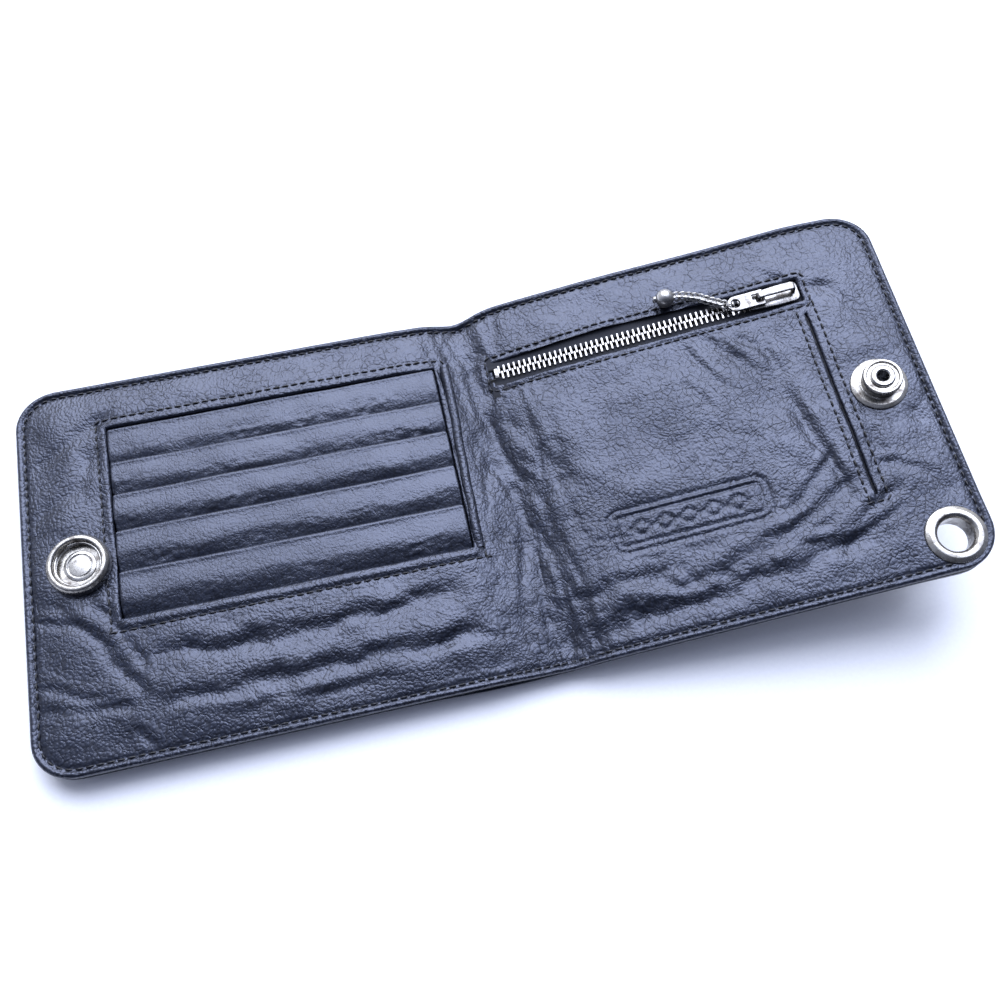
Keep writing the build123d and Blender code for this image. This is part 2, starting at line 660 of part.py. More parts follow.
# ==== Snap fastener ====
cap_post_rise = left_top_w + SOCKET_FLOOR - left_cover_w
with BuildPart() as snap_cap:
    with BuildSketch(upright(LEFT, -snap_u, 0, left_cover_w)):
        with BuildLine():
            dome = TangentArc((0, -left_cover_w), (CAP_RADIUS, -CAP_EDGE), tangent=(1, 0))
            Polyline(
                dome @ 1,
                (CAP_RADIUS, 0),
                (SNAP_POST, 0),
                (SNAP_POST, cap_post_rise),
                (0, cap_post_rise),
                dome @ 0,
            )
        make_face()
    revolve(axis=normal_axis(LEFT, -snap_u, 0))
finish(snap_cap, "snap_cap")

stud_rise = CLOSED_GAP - SOCKET_FLOOR - RIVET_THICK - STUD_TOP_CLEAR
spring_radius = STUD_HEAD - SPRING_BITE + SPRING_WIRE
spring_rise = CLOSED_GAP - (stud_rise - STUD_HEAD_THICK) - SPRING_WIRE / 2
groove_radius = spring_radius + SPRING_WIRE + SPRING_ROOM
groove_half = SPRING_WIRE + FIT
with BuildPart() as snap_socket_ring:
    with BuildSketch(upright(LEFT, -snap_u, 0, left_top_w)) as ring_section:
        with Locations(((snap_hole_left + SOCKET_RADIUS) / 2, SOCKET_FLOOR / 2)):
            Rectangle(SOCKET_RADIUS - snap_hole_left, SOCKET_FLOOR)
        window((SOCKET_OPENING, SOCKET_RADIUS), (0, SOCKET_RISE), Mode.ADD)
        fillet(ring_section.vertices().group_by(Axis.Y)[-1], (SOCKET_RADIUS - SOCKET_OPENING) * 0.4)
        window((SOCKET_OPENING, groove_radius), (spring_rise - groove_half, spring_rise + groove_half))
    revolve(axis=normal_axis(LEFT, -snap_u, 0))
finish(snap_socket_ring, "snap_socket_ring")

with BuildPart() as snap_spring_ring:
    with BuildSketch(upright(LEFT, -snap_u, 0, left_top_w)):
        with Locations((spring_radius, spring_rise)):
            Circle(SPRING_WIRE)
    revolve(axis=normal_axis(LEFT, -snap_u, 0), revolution_arc=325)
finish(snap_spring_ring, "snap_spring_ring")

with BuildPart() as snap_socket_rivet:
    with BuildSketch(LEFT.offset(left_top_w + SOCKET_FLOOR)):
        with Locations((-snap_u, 0)):
            Circle(RIVET_RADIUS)
    extrude(amount=RIVET_THICK)
    fillet(faces().sort_by(Axis.Z)[-1].edges(), RIVET_THICK / 2)
finish(snap_socket_rivet, "snap_socket_rivet")

with BuildPart() as snap_stud:
    head_w = stud_rise - STUD_HEAD_THICK
    with BuildSketch(upright(RIGHT, snap_u, 0, right_top_w)) as stud_section:
        with BuildLine():
            Polyline(
                (snap_hole_right, 0),
                (STUD_FLANGE, 0),
                (STUD_FLANGE, STUD_FLANGE_THICK),
                (STUD_NECK, STUD_FLANGE_THICK + FIT),
                (STUD_NECK, head_w - SPRING_WIRE),
                (STUD_HEAD, head_w + SPRING_WIRE),
                (STUD_HEAD, stud_rise),
                (STUD_CUP, stud_rise),
                (STUD_CUP, stud_rise - STUD_CUP_DEPTH),
                (STUD_RING, stud_rise - STUD_CUP_DEPTH),
                (STUD_RING, stud_rise - STUD_CUP_DEPTH / 2),
                (snap_hole_right, stud_rise - STUD_CUP_DEPTH / 2),
                close=True,
            )
        make_face()
        rim = stud_section.vertices().group_by(Axis.Y)[-1].sort_by(Axis.X)[-1]
        fillet(rim, STUD_HEAD_THICK / 3)
    revolve(axis=normal_axis(RIGHT, snap_u, 0))
finish(snap_stud, "snap_stud")

with BuildPart() as snap_stud_post:
    post_top = right_top_w + stud_rise - STUD_CUP_DEPTH
    with BuildSketch(upright(RIGHT, snap_u, 0, 0)):
        window((POST_BORE, stud_post), (right_cover_w - POST_FLANGE_THICK, post_top), Mode.ADD)
        window((POST_BORE, POST_FLANGE), (right_cover_w - POST_FLANGE_THICK, right_cover_w), Mode.ADD)
    revolve(axis=normal_axis(RIGHT, snap_u, 0))
finish(snap_stud_post, "snap_stud_post")

# ==== Chain eyelet ====
barrel = EYELET_BORE + EYELET_WALL
with BuildPart() as chain_eyelet:
    with BuildSketch(upright(RIGHT, *eyelet_at, 0)) as eyelet_section:
        window((EYELET_BORE, barrel), (right_cover_w - WASHER_THICK, right_top_w), Mode.ADD)
        window((EYELET_BORE, EYELET_FLANGE), (right_top_w, right_top_w + EYELET_RISE), Mode.ADD)
        fillet(eyelet_section.vertices().group_by(Axis.Y)[-1].sort_by(Axis.X)[-1], EYELET_RISE * 0.6)
    revolve(axis=normal_axis(RIGHT, *eyelet_at))
finish(chain_eyelet, "chain_eyelet")

with BuildPart() as eyelet_washer:
    with BuildSketch(RIGHT.offset(right_cover_w - WASHER_THICK)):
        with Locations(eyelet_at):
            Circle(EYELET_FLANGE)
            Circle(barrel + FIT, mode=Mode.SUBTRACT)
    extrude(amount=WASHER_THICK)
finish(eyelet_washer, "eyelet_washer")
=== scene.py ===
"""Folding chain wallet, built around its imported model.

Lengths are in millimetres until a mesh is made, and metres after that.  Every
surface point is first placed in the wallet's flat coordinates: s across the open
wallet from the fold, v along the fold, w up from the leather's back.
"""

import json
import logging
import math
from dataclasses import dataclass
from enum import Enum
from functools import partial
from typing import Callable, Optional, Sequence

import bmesh
import bpy
import numpy as np
from bpy.types import Material, Node, NodeSocket, NodeTree, Object
from mathutils import Matrix, Vector


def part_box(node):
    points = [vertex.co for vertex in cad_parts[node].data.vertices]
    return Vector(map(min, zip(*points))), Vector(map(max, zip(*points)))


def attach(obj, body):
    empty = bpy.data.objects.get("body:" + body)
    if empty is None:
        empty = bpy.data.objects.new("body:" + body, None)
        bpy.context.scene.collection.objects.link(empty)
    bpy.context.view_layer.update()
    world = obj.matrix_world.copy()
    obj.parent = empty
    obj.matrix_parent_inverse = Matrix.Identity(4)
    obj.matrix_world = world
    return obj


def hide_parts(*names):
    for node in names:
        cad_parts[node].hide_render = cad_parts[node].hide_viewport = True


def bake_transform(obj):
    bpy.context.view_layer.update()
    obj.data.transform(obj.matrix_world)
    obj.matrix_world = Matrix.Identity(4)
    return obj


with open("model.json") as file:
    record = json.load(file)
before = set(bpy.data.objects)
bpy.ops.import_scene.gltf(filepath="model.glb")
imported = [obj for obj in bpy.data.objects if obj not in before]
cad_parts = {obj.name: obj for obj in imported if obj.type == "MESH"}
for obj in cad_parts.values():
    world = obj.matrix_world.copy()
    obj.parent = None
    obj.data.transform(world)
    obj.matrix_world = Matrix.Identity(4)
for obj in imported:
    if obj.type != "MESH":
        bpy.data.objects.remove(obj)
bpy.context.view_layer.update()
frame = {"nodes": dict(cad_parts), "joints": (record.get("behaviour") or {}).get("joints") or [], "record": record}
LOG = logging.getLogger("wallet")
MM = 0.001
MERGE = 1e-7  # points nearer than this are one, in metres
Array = np.ndarray


# ==== Small numeric tools ====


def smooth(t: Array) -> Array:
    """Returns the smooth step of t, from 0 at 0 to 1 at 1."""
    t = np.clip(t, 0.0, 1.0)
    return t * t * (3 - 2 * t)


def hump(x: Array, middle: float, width: float) -> Array:
    """Returns a bell curve of x round middle."""
    return np.exp(-(((x - middle) / width) ** 2))


def rolled_over(t: Array) -> Array:
    """Returns how far a quarter-round edge has dropped: 1 at its rim, where t is 0, and 0 from t = 1 on."""
    return 1 - np.sqrt(np.clip(1 - (1 - np.clip(t, 0, 1)) ** 2, 0, 1))


def middles(s: Array, v: Array) -> tuple[Array, Array]:
    """Returns the middle of each cell of a grid."""
    return (s[:-1, :-1] + s[1:, 1:]) / 2, (v[:-1, :-1] + v[1:, 1:]) / 2


def both_ends(low: float, high: float, offsets: Sequence[float]) -> list[float]:
    """Returns grid lines at those distances inside each end."""
    return [low + x for x in offsets] + [high - x for x in offsets]


def hashed(ix: Array, iy: Array, seed: int) -> Array:
    """Returns a fixed pseudo-random number from 0 to 1 for each lattice point.

    Args:
        ix: Lattice columns.
        iy: Lattice rows.
        seed: Chooses the set of numbers.

    Returns:
        An array of the lattice's shape.
    """
    n = (ix.astype(np.int64) * 374761393 + iy.astype(np.int64) * 668265263 + seed * 974634777) & 0x7FFFFFFF
    n = ((n ^ (n >> 13)) * 1274126177) & 0x7FFFFFFF
    n = ((n ^ (n >> 16)) * 974711) & 0x7FFFFFFF
    return (n ^ (n >> 11)) / float(0x7FFFFFFF)


def noise(x: Array, y: Array, seed: int) -> Array:
    """Returns gradient noise, about -1 to 1, with features one unit wide."""
    ix, iy = np.floor(x), np.floor(y)
    fx, fy = x - ix, y - iy
    total = np.zeros_like(x)
    for dx in (0, 1):
        for dy in (0, 1):
            angle = hashed(ix + dx, iy + dy, seed) * 2 * math.pi
            ramp = np.cos(angle) * (fx - dx) + np.sin(angle) * (fy - dy)
            total += ramp * smooth(1 - np.abs(fx - dx)) * smooth(1 - np.abs(fy - dy))
    return total * 1.6


def cell_edges(x: Array, y: Array, seed: int) -> Array:
    """Returns how far each point is from the border between its two nearest cell seeds.

    Args:
        x: Across, in cells.
        y: Along, in cells.
        seed: Chooses the cells.

    Returns:
        0 on a border, about 0.5 at a cell's middle.
    """
    ix, iy = np.floor(x), np.floor(y)
    first = np.full(x.shape, 9.0)
    second = np.full(x.shape, 9.0)
    for dx in (-1, 0, 1):
        for dy in (-1, 0, 1):
            cx = ix + dx + hashed(ix + dx, iy + dy, seed)
            cy = iy + dy + hashed(ix + dx, iy + dy, seed + 7)
            d = np.hypot(cx - x, cy - y)
            second = np.minimum(second, np.maximum(first, d))
            first = np.minimum(first, d)
    return second - first


# ==== The wallet's flat coordinates ====


@dataclass(frozen=True)
class Layout:
    """The wallet's driving sizes, in mm, and the way from flat to real coordinates."""

    width: float = 119.7
    height: float = 105.0
    corner: float = 10.5
    flex: float = 9.0
    left_back: float = 1.8
    left_top: float = 8.6
    right_back: float = 1.5
    right_top: float = 6.3
    rim_left: float = 3.4
    rim_right: float = 3.1
    rim_lift: float = 0.8
    stretch: float = 1.5
    bulge: float = 2.0
    stretch_from: float = 98.0
    stitch_inset: float = 2.1

    @property
    def hinge(self) -> Array:
        """The fold line's height above the table, as a point in mm."""
        joint = next(j for j in frame["joints"] if j["name"] == "spine_fold")
        return np.array(joint["pos_m"]) / MM

    @property
    def normal(self) -> Array:
        """The right panel's outward normal."""
        mount = next(m for m in frame["record"]["mounts"] if m["name"] == "chain_eyelet")
        return np.array(mount["axis"], float)

    @property
    def along(self) -> Array:
        """The right panel's direction away from the fold."""
        n = self.normal
        return np.array([n[2], 0.0, -n[0]])

    def right(self, s: Array, v: Array, w: Array) -> Array:
        """Places points of the right panel's flat frame, in mm."""
        rise = (w - self.hinge[2])[..., None]
        # The full coin pocket has pushed this panel's top edge up.
        bulge = self.bulge * smooth((s + 2) / 16) * (
            1 - 0.3 * smooth((s - 40) / 40)
        ) * smooth((117 - s) / 22)
        up = (v + bulge * smooth((v - 37) / 14))[..., None]
        return self.hinge + s[..., None] * self.along + up * np.array([0, 1, 0]) + rise * self.normal

    def place(self, s: Array, v: Array, w_left: Array, w_right: Array) -> Array:
        """Places points of the whole open wallet.

        Args:
            s: Across, negative on the left panel.
            v: Along the fold.
            w_left: Heights in the left panel's frame.
            w_right: Heights in the right panel's frame.

        Returns:
            Points in mm, with one more axis of length 3.
        """
        drawn = s - self.stretch * smooth((-s - self.stretch_from) / (self.width - self.stretch_from))
        left = np.stack([drawn, v, w_left], axis=-1)
        share = smooth((s + self.flex) / (2 * self.flex))[..., None]
        return left * (1 - share) + self.right(s, v, w_right) * share

    def edge_distance(self, s: Array, v: Array) -> Array:
        """Returns how far each flat point is inside the rounded outline."""
        r = self.corner
        qx = np.abs(s) - (self.width - r)
        qy = np.abs(v) - (self.height / 2 - r)
        outside = np.hypot(np.maximum(qx, 0), np.maximum(qy, 0))
        return r - outside - np.minimum(np.maximum(qx, qy), 0)

    def round_corners(self, s: Array, v: Array, inset: float = 0.0) -> tuple[Array, Array]:
        """Pulls a rectangular grid in to the rounded outline.

        Args:
            s: Grid across, out to the width.
            v: Grid along, out to half the height.
            inset: How far inside the outline the grid's border should lie.

        Returns:
            The moved s and v.
        """
        scale = (self.height / 2 - inset) / (self.height / 2)
        v = v * scale
        r = self.corner - inset
        over = np.clip(np.abs(v) - (self.height / 2 - self.corner), 0, r)
        limit = self.width - self.corner + np.sqrt(r * r - over * over)
        band = 30.0
        start = self.width - band
        beyond = np.abs(s) > start
        pulled = start + (np.abs(s) - start) * (limit - start) / band
        return np.where(beyond, np.sign(s) * pulled, s), v


LAYOUT = Layout()


def grid_lines(low: float, high: float, step: float, stops: Sequence[float] = ()) -> Array:
    """Returns rising values from low to high that include every stop, about a step apart."""
    marks = sorted({low, high, *[x for x in stops if low < x < high]})
    values: list[float] = [low]
    for a, b in zip(marks, marks[1:]):
        count = max(1, round((b - a) / step))
        values += list(np.linspace(a, b, count + 1)[1:])
    return np.array(values)


def row_lines(layout: Layout, step: float, stops: Sequence[float] = ()) -> Array:
    """Returns v values that crowd towards the top and bottom edges along the corner arcs."""
    flat = layout.height / 2 - layout.corner
    count = max(4, round(layout.corner * math.pi / 2 / step))
    arc = flat + layout.corner * np.sin(np.linspace(0, math.pi / 2, count + 1))[1:]
    middle = grid_lines(-flat, flat, step, stops)
    extra = [x for x in stops if abs(x) > flat]
    values = np.concatenate([-arc[::-1], middle, arc, extra])
    values = np.unique(np.round(values, 4))
    keep = [values[0]]
    for x in values[1:]:
        if x - keep[-1] > 0.02:
            keep.append(x)
    return np.array(keep)


# ==== Meshes ====


def make_object(name: str, points: Array, faces: Sequence, material: Material) -> Object:
    """Makes a smooth mesh object at the origin.

    Args:
        name: The piece's name.
        points: Vertex positions in mm, one row each.
        faces: Vertex numbers of each face.
        material: The piece's finish.

    Returns:
        The new object, linked to the scene.
    """
    mesh = bpy.data.meshes.new(name)
    mesh.from_pydata((np.asarray(points, float) * MM).tolist(), [], [tuple(map(int, f)) for f in faces])
    mesh.update()
    mesh.polygons.foreach_set("use_smooth", np.ones(len(mesh.polygons), bool))
    mesh.materials.append(material)
    obj = bpy.data.objects.new(name, mesh)
    bpy.context.scene.collection.objects.link(obj)
    return obj


def sharpen(obj: Object, degrees: float = 40.0) -> Object:
    """Keeps edges sharper than the angle crisp, and points the faces outwards."""
    work = bmesh.new()
    work.from_mesh(obj.data)
    bmesh.ops.remove_doubles(work, verts=work.verts, dist=MERGE)
    bmesh.ops.recalc_face_normals(work, faces=work.faces)
    work.to_mesh(obj.data)
    work.free()
    obj.data.set_sharp_from_angle(angle=math.radians(degrees))
    return obj


def grid_faces(rows: int, columns: int, keep: Optional[Array] = None) -> Array:
    """Returns the quads of a rows by columns grid of points, without the cells not kept."""
    index = np.arange(rows * columns).reshape(rows, columns)
    quads = np.stack([index[:-1, :-1], index[:-1, 1:], index[1:, 1:], index[1:, :-1]], axis=-1)
    return quads[keep] if keep is not None else quads.reshape(-1, 4)


def border_edges(faces: Array) -> Array:
    """Returns the directed edges that only one face uses."""
    edges = np.concatenate([faces[:, [k, (k + 1) % 4]] for k in range(4)])
    key = np.sort(edges, axis=1)
    order = np.lexsort((key[:, 1], key[:, 0]))
    key, edges = key[order], edges[order]
    same = np.all(key[1:] == key[:-1], axis=1)
    single = ~(np.concatenate([[False], same]) | np.concatenate([same, [False]]))
    return edges[single]


def shell(top: Array, bottom: Array, faces: Array) -> tuple[Array, Array]:
    """Closes two matching grids into one solid.

    Args:
        top: Upper points, one row each.
        bottom: Lower points, in the same order.
        faces: Quads of the upper grid, facing up.

    Returns:
        The points and faces of the solid.
    """
    count = len(top)
    border = border_edges(faces)
    walls = np.stack([border[:, 1], border[:, 0], border[:, 0] + count, border[:, 1] + count], axis=1)
    return np.concatenate([top, bottom]), np.concatenate([faces, faces[:, ::-1] + count, walls])


def tie(obj: Object, slot: str, *nodes: str, body: Optional[str] = None, reach: float = 0.006) -> Object:
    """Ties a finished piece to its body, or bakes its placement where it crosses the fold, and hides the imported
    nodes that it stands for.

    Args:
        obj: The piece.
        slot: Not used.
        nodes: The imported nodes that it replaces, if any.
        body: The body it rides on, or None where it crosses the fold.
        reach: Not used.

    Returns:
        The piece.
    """
    if body:
        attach(obj, body)
    else:
        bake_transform(obj)
    if nodes:
        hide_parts(*nodes)
    return obj


def tidy_unused(points: Array, faces: Array) -> tuple[Array, Array]:
    """Drops the points that no face uses."""
    used = np.unique(faces)
    number = np.full(len(points), -1)
    number[used] = np.arange(len(used))
    return points[used], number[faces]


def rounded(profile: Sequence[tuple[float, float, float]], steps: int = 5, closed: bool = True) -> Array:
    """Rounds the corners of an outline.

    Args:
        profile: Corners as (x, y, radius).
        steps: Pieces in each rounded corner.
        closed: Whether the outline joins up.

    Returns:
        The outline's points.
    """
    out: list[Array] = []
    count = len(profile)
    for k, (x, y, radius) in enumerate(profile):
        here = np.array([x, y])
        if radius <= 0 or (not closed and k in (0, count - 1)):
            out.append(here)
            continue
        before = np.array(profile[k - 1][:2]) - here
        after = np.array(profile[(k + 1) % count][:2]) - here
        a, b = np.linalg.norm(before), np.linalg.norm(after)
        before, after = before / a, after / b
        turn = math.acos(max(-1.0, min(1.0, float(before @ after))))
        reach = min(radius / math.tan(turn / 2), a * 0.49, b * 0.49)
        start, stop = here + before * reach, here + after * reach
        for t in np.linspace(0, 1, steps + 1):
            out.append(start * (1 - t) ** 2 + here * 2 * t * (1 - t) + stop * t**2)
    return np.array(out)


class Side(Enum):
    """Which panel's flat frame a small piece is drawn in."""

    LEFT = "left"
    RIGHT = "right"

    def place(self, s: Array, v: Array, w: Array) -> Array:
        """Places flat points of this panel, in mm."""
        s, v, w = np.broadcast_arrays(np.asarray(s, float), np.asarray(v, float), np.asarray(w, float))
        if self is Side.LEFT:
            return np.stack([s, v, w], axis=-1)
        return LAYOUT.right(s, v, w)


def lathe(
    name: str, outline: Array, side: Side, centre: tuple[float, float, float], material: Material,
    segments: int = 96
) -> Object:
    """Turns a closed outline of (radius, height) about a panel's normal.

    Args:
        name: The piece's name.
        outline: Points as (radius, height), a loop that may touch the axis.
        side: The panel that it stands on.
        centre: The axis's s and v, and the height that 0 stands for.
        material: The piece's finish.
        segments: Steps round the axis.

    Returns:
        The turned piece.
    """
    angles = np.linspace(0, 2 * math.pi, segments, endpoint=False)
    r, h = outline[:, 0], outline[:, 1]
    s = centre[0] + r[None, :] * np.cos(angles)[:, None]
    v = centre[1] + r[None, :] * np.sin(angles)[:, None]
    w = centre[2] + np.broadcast_to(h, s.shape)
    points = side.place(s, v, w).reshape(-1, 3)
    n = len(outline)
    faces = []
    for k in range(segments):
        for i in range(n):
            a, b = k * n + i, k * n + (i + 1) % n
            c, d = ((k + 1) % segments) * n + (i + 1) % n, ((k + 1) % segments) * n + i
            faces.append((a, b, c, d))
    obj = make_object(name, points, faces, material)
    work = bmesh.new()
    work.from_mesh(obj.data)
    bmesh.ops.remove_doubles(work, verts=work.verts, dist=MERGE)
    bmesh.ops.dissolve_degenerate(work, edges=work.edges, dist=1e-8)
    work.to_mesh(obj.data)
    work.free()
    return sharpen(obj, 35)


def round_edges(obj: Object, radius: float, segments: int = 3) -> Object:
    """Bevels an object's sharp edges and applies the result."""
    bevel = obj.modifiers.new("round", "BEVEL")
    bevel.width = radius * MM
    bevel.segments = segments
    bevel.limit_method = "ANGLE"
    bevel.angle_limit = math.radians(35)
    bevel.harden_normals = False
    return bake_modifiers(obj)


def bake_modifiers(obj: Object) -> Object:
    """Turns an object's modifiers into plain mesh."""
    depsgraph = bpy.context.evaluated_depsgraph_get()
    mesh = bpy.data.meshes.new_from_object(obj.evaluated_get(depsgraph), depsgraph=depsgraph)
    obj.modifiers.clear()
    old = obj.data
    obj.data = mesh
    mesh.name = obj.name
    if old.users == 0:
        bpy.data.meshes.remove(old)
    return obj


def tube(path: Array, radius: float, sides: int = 10, caps: bool = True) -> tuple[Array, list]:
    """Wraps a round tube along a path.

    Args:
        path: Centre points in mm.
        radius: The tube's radius in mm.
        sides: Steps round the tube.
        caps: Whether the ends are closed.

    Returns:
        The tube's points and faces.
    """
    steps = len(path)
    tangents = np.gradient(path, axis=0)
    tangents /= np.linalg.norm(tangents, axis=1)[:, None]
    up = np.array([0.0, 0.0, 1.0])
    across = np.cross(tangents, up)
    across /= np.linalg.norm(across, axis=1)[:, None]
    other = np.cross(across, tangents)
    angles = np.linspace(0, 2 * math.pi, sides, endpoint=False)
    ring = np.cos(angles)[None, :, None] * across[:, None] + np.sin(angles)[None, :, None] * other[:, None]
    points = (path[:, None] + radius * ring).reshape(-1, 3)
    faces: list = []
    for k in range(steps - 1):
        for i in range(sides):
            a, b = k * sides + i, k * sides + (i + 1) % sides
            faces.append((a, b, b + sides, a + sides))
    if caps:
        faces.append(tuple(range(sides)))
        faces.append(tuple(range((steps - 1) * sides, steps * sides))[::-1])
    return points, faces


# ==== Geometry Nodes: copies along a path ====


@dataclass
class PathCopies:
    """A node tree that lays copies of one small mesh along a path and joins them."""

    name: str
    spacing: float
    up: Vector
    alternate: float = 0.0
    wobble: float = 0.0
    seed: int = 1

    def _tree(self) -> NodeTree:
        """Builds the node tree with its named inputs."""
        tree = bpy.data.node_groups.new(self.name, "GeometryNodeTree")
        kinds = {"Path": "Geometry", "Copy": "Object", "Finish": "Material", "Spacing": "Float"}
        kinds |= {"Alternate": "Float", "Wobble": "Float", "Up": "Vector", "Seed": "Int"}
        for label, kind in kinds.items():
            tree.interface.new_socket(label, in_out="INPUT", socket_type="NodeSocket" + kind)
        tree.interface.new_socket("Result", in_out="OUTPUT", socket_type="NodeSocketGeometry")
        add = partial(add_node, tree)
        given = add("NodeGroupInput").outputs
        curve = add("GeometryNodeMeshToCurve", {"Mesh": given["Path"]})
        even = add("GeometryNodeResampleCurve", {"Curve": curve, "Length": given["Spacing"]}, mode="LENGTH")
        heading = add("GeometryNodeInputTangent")
        align = "FunctionNodeAlignRotationToVector"
        faced = add(align, {"Vector": heading}, axis="X", pivot_axis="AUTO")
        turned = add(align, {"Rotation": faced, "Vector": given["Up"]}, axis="Z", pivot_axis="X")
        # Every other copy is turned the other way about the path.
        parity = add("ShaderNodeMath", {0: add("GeometryNodeInputIndex"), 1: 2.0}, operation="MODULO")
        centred = add("ShaderNodeMath", {0: parity, 1: 0.5}, operation="SUBTRACT")
        swing = add("ShaderNodeMath", {0: centred, 1: given["Alternate"]}, operation="MULTIPLY")
        loose = add(
            "FunctionNodeRandomValue", {"Min": -1.0, "Max": 1.0, "Seed": given["Seed"]}, data_type="FLOAT"
        )
        loose_value = next(o for o in loose.outputs if o.enabled and o.type == "VALUE")
        drift = add("ShaderNodeMath", {0: loose_value, 1: given["Wobble"]}, operation="MULTIPLY")
        for axis, angle in ((0, swing), (2, drift)):
            turn = add("ShaderNodeCombineXYZ", {axis: angle})
            by = {"Rotation": turned, "Rotate By": turn}
            turned = add("FunctionNodeRotateRotation", by, rotation_space="LOCAL")
        source = add("GeometryNodeObjectInfo", {"Object": given["Copy"]}, transform_space="ORIGINAL")
        placed = {"Points": even, "Instance": source.outputs["Geometry"], "Rotation": turned}
        real = add("GeometryNodeRealizeInstances", {0: add("GeometryNodeInstanceOnPoints", placed)})
        dressed = add("GeometryNodeSetMaterial", {"Geometry": real, "Material": given["Finish"]})
        add("NodeGroupOutput", {"Result": dressed})
        return tree

    def lay(self, path: Array, copy: Object, material: Material) -> Object:
        """Lays the copies and returns them as one plain mesh object.

        Args:
            path: Points of the path, in mm.
            copy: The small mesh, its length along X.  The caller drops it afterwards.
            material: The copies' finish.

        Returns:
            The joined copies.
        """
        mesh = bpy.data.meshes.new(self.name)
        mesh.from_pydata((path * MM).tolist(), [(k, k + 1) for k in range(len(path) - 1)], [])
        obj = bpy.data.objects.new(self.name, mesh)
        bpy.context.scene.collection.objects.link(obj)
        modifier = obj.modifiers.new("copies", "NODES")
        modifier.node_group = self._tree()
        values = {
            "Copy": copy, "Finish": material, "Spacing": self.spacing * MM, "Alternate": self.alternate,
            "Wobble": self.wobble, "Up": tuple(self.up), "Seed": self.seed
        }
        for item in modifier.node_group.interface.items_tree:
            if item.in_out == "INPUT" and item.name in values:
                modifier[item.identifier] = values[item.name]
        tree = modifier.node_group
        bake_modifiers(obj)
        bpy.data.node_groups.remove(tree)
        if not obj.data.materials:
            obj.data.materials.append(material)
        obj.data.polygons.foreach_set("use_smooth", np.ones(len(obj.data.polygons), bool))
        return obj


def drop(obj: Object) -> None:
    """Removes a helper object and its mesh."""
    mesh = obj.data
    bpy.data.objects.remove(obj)
    bpy.data.meshes.remove(mesh)


def join(name: str, pieces: Sequence[Object]) -> Object:
    """Joins several mesh objects at the origin into one.

    Args:
        name: The joined piece's name.
        pieces: The objects, which are removed.

    Returns:
        The joined piece, with the first one's materials first.
    """
    work = bmesh.new()
    materials: list[Material] = []
    for piece in pieces:
        start = len(work.faces)
        work.from_mesh(piece.data)
        work.faces.ensure_lookup_table()
        slots = list(piece.data.materials)
        for m in slots:
            if m not in materials:
                materials.append(m)
        for face in work.faces[start:]:
            face.material_index = materials.index(slots[face.material_index]) if slots else 0
    mesh = bpy.data.meshes.new(name)
    work.to_mesh(mesh)
    work.free()
    for m in materials:
        mesh.materials.append(m)
    for piece in pieces:
        drop(piece)
    obj = bpy.data.objects.new(name, mesh)
    bpy.context.scene.collection.objects.link(obj)
    return obj


# ==== Finishes ====


def srgb(code: str) -> tuple[float, float, float, float]:
    """Turns a hex sRGB colour such as #20242f into linear red, green, blue and alpha."""
    parts = [int(code[k : k + 2], 16) / 255 for k in (1, 3, 5)]
    linear = [c / 12.92 if c <= 0.04045 else ((c + 0.055) / 1.055) ** 2.4 for c in parts]
    return (*linear, 1.0)


def add_node(
    tree: NodeTree, kind: str, inputs: Optional[dict] = None, stops: Sequence[tuple] = (),
    **settings: object
) -> Node:
    """Adds a node, sets its properties, and sets or links its inputs.

    Args:
        tree: The node tree.
        kind: The node's type name.
        inputs: Input name or number to a value, an output, or a node whose first output is meant.
        stops: A colour ramp's stops as (place, colour).
        settings: Property values.

    Returns:
        The new node.
    """
    node = tree.nodes.new(kind)
    for key, value in settings.items():
        setattr(node, key, value)
    for key, value in (inputs or {}).items():
        source = value.outputs[0] if isinstance(value, Node) else value
        if isinstance(source, NodeSocket):
            tree.links.new(source, node.inputs[key])
        else:
            node.inputs[key].default_value = source
    if stops:
        elements = node.color_ramp.elements
        elements[0].position, elements[0].color = stops[0]
        elements[1].position, elements[1].color = stops[-1]
        for place, colour in stops[1:-1]:
            elements.new(place).color = colour
    return node


def grey(level: float) -> tuple[float, float, float, float]:
    """Returns a grey of that linear level."""
    return (level, level, level, 1.0)


class Finish:
    """What every finish shares: a Principled shader on patterns that read Object coordinates."""

    name: str

    def surface(self, add: Callable, place: NodeSocket) -> dict:
        """Adds the finish's own nodes.

        Args:
            add: Adds a node to the finish's tree.
            place: The Object coordinates.

        Returns:
            The shader's inputs.
        """
        raise NotImplementedError

    def build(self) -> Material:
        """Makes the material."""
        material = bpy.data.materials.new(self.name)
        material.use_nodes = True
        material.node_tree.nodes.clear()
        add = partial(add_node, material.node_tree)
        place = add("ShaderNodeTexCoord").outputs["Object"]
        shader = add("ShaderNodeBsdfPrincipled", self.surface(add, place))
        add("ShaderNodeOutputMaterial", {"Surface": shader})
        return material


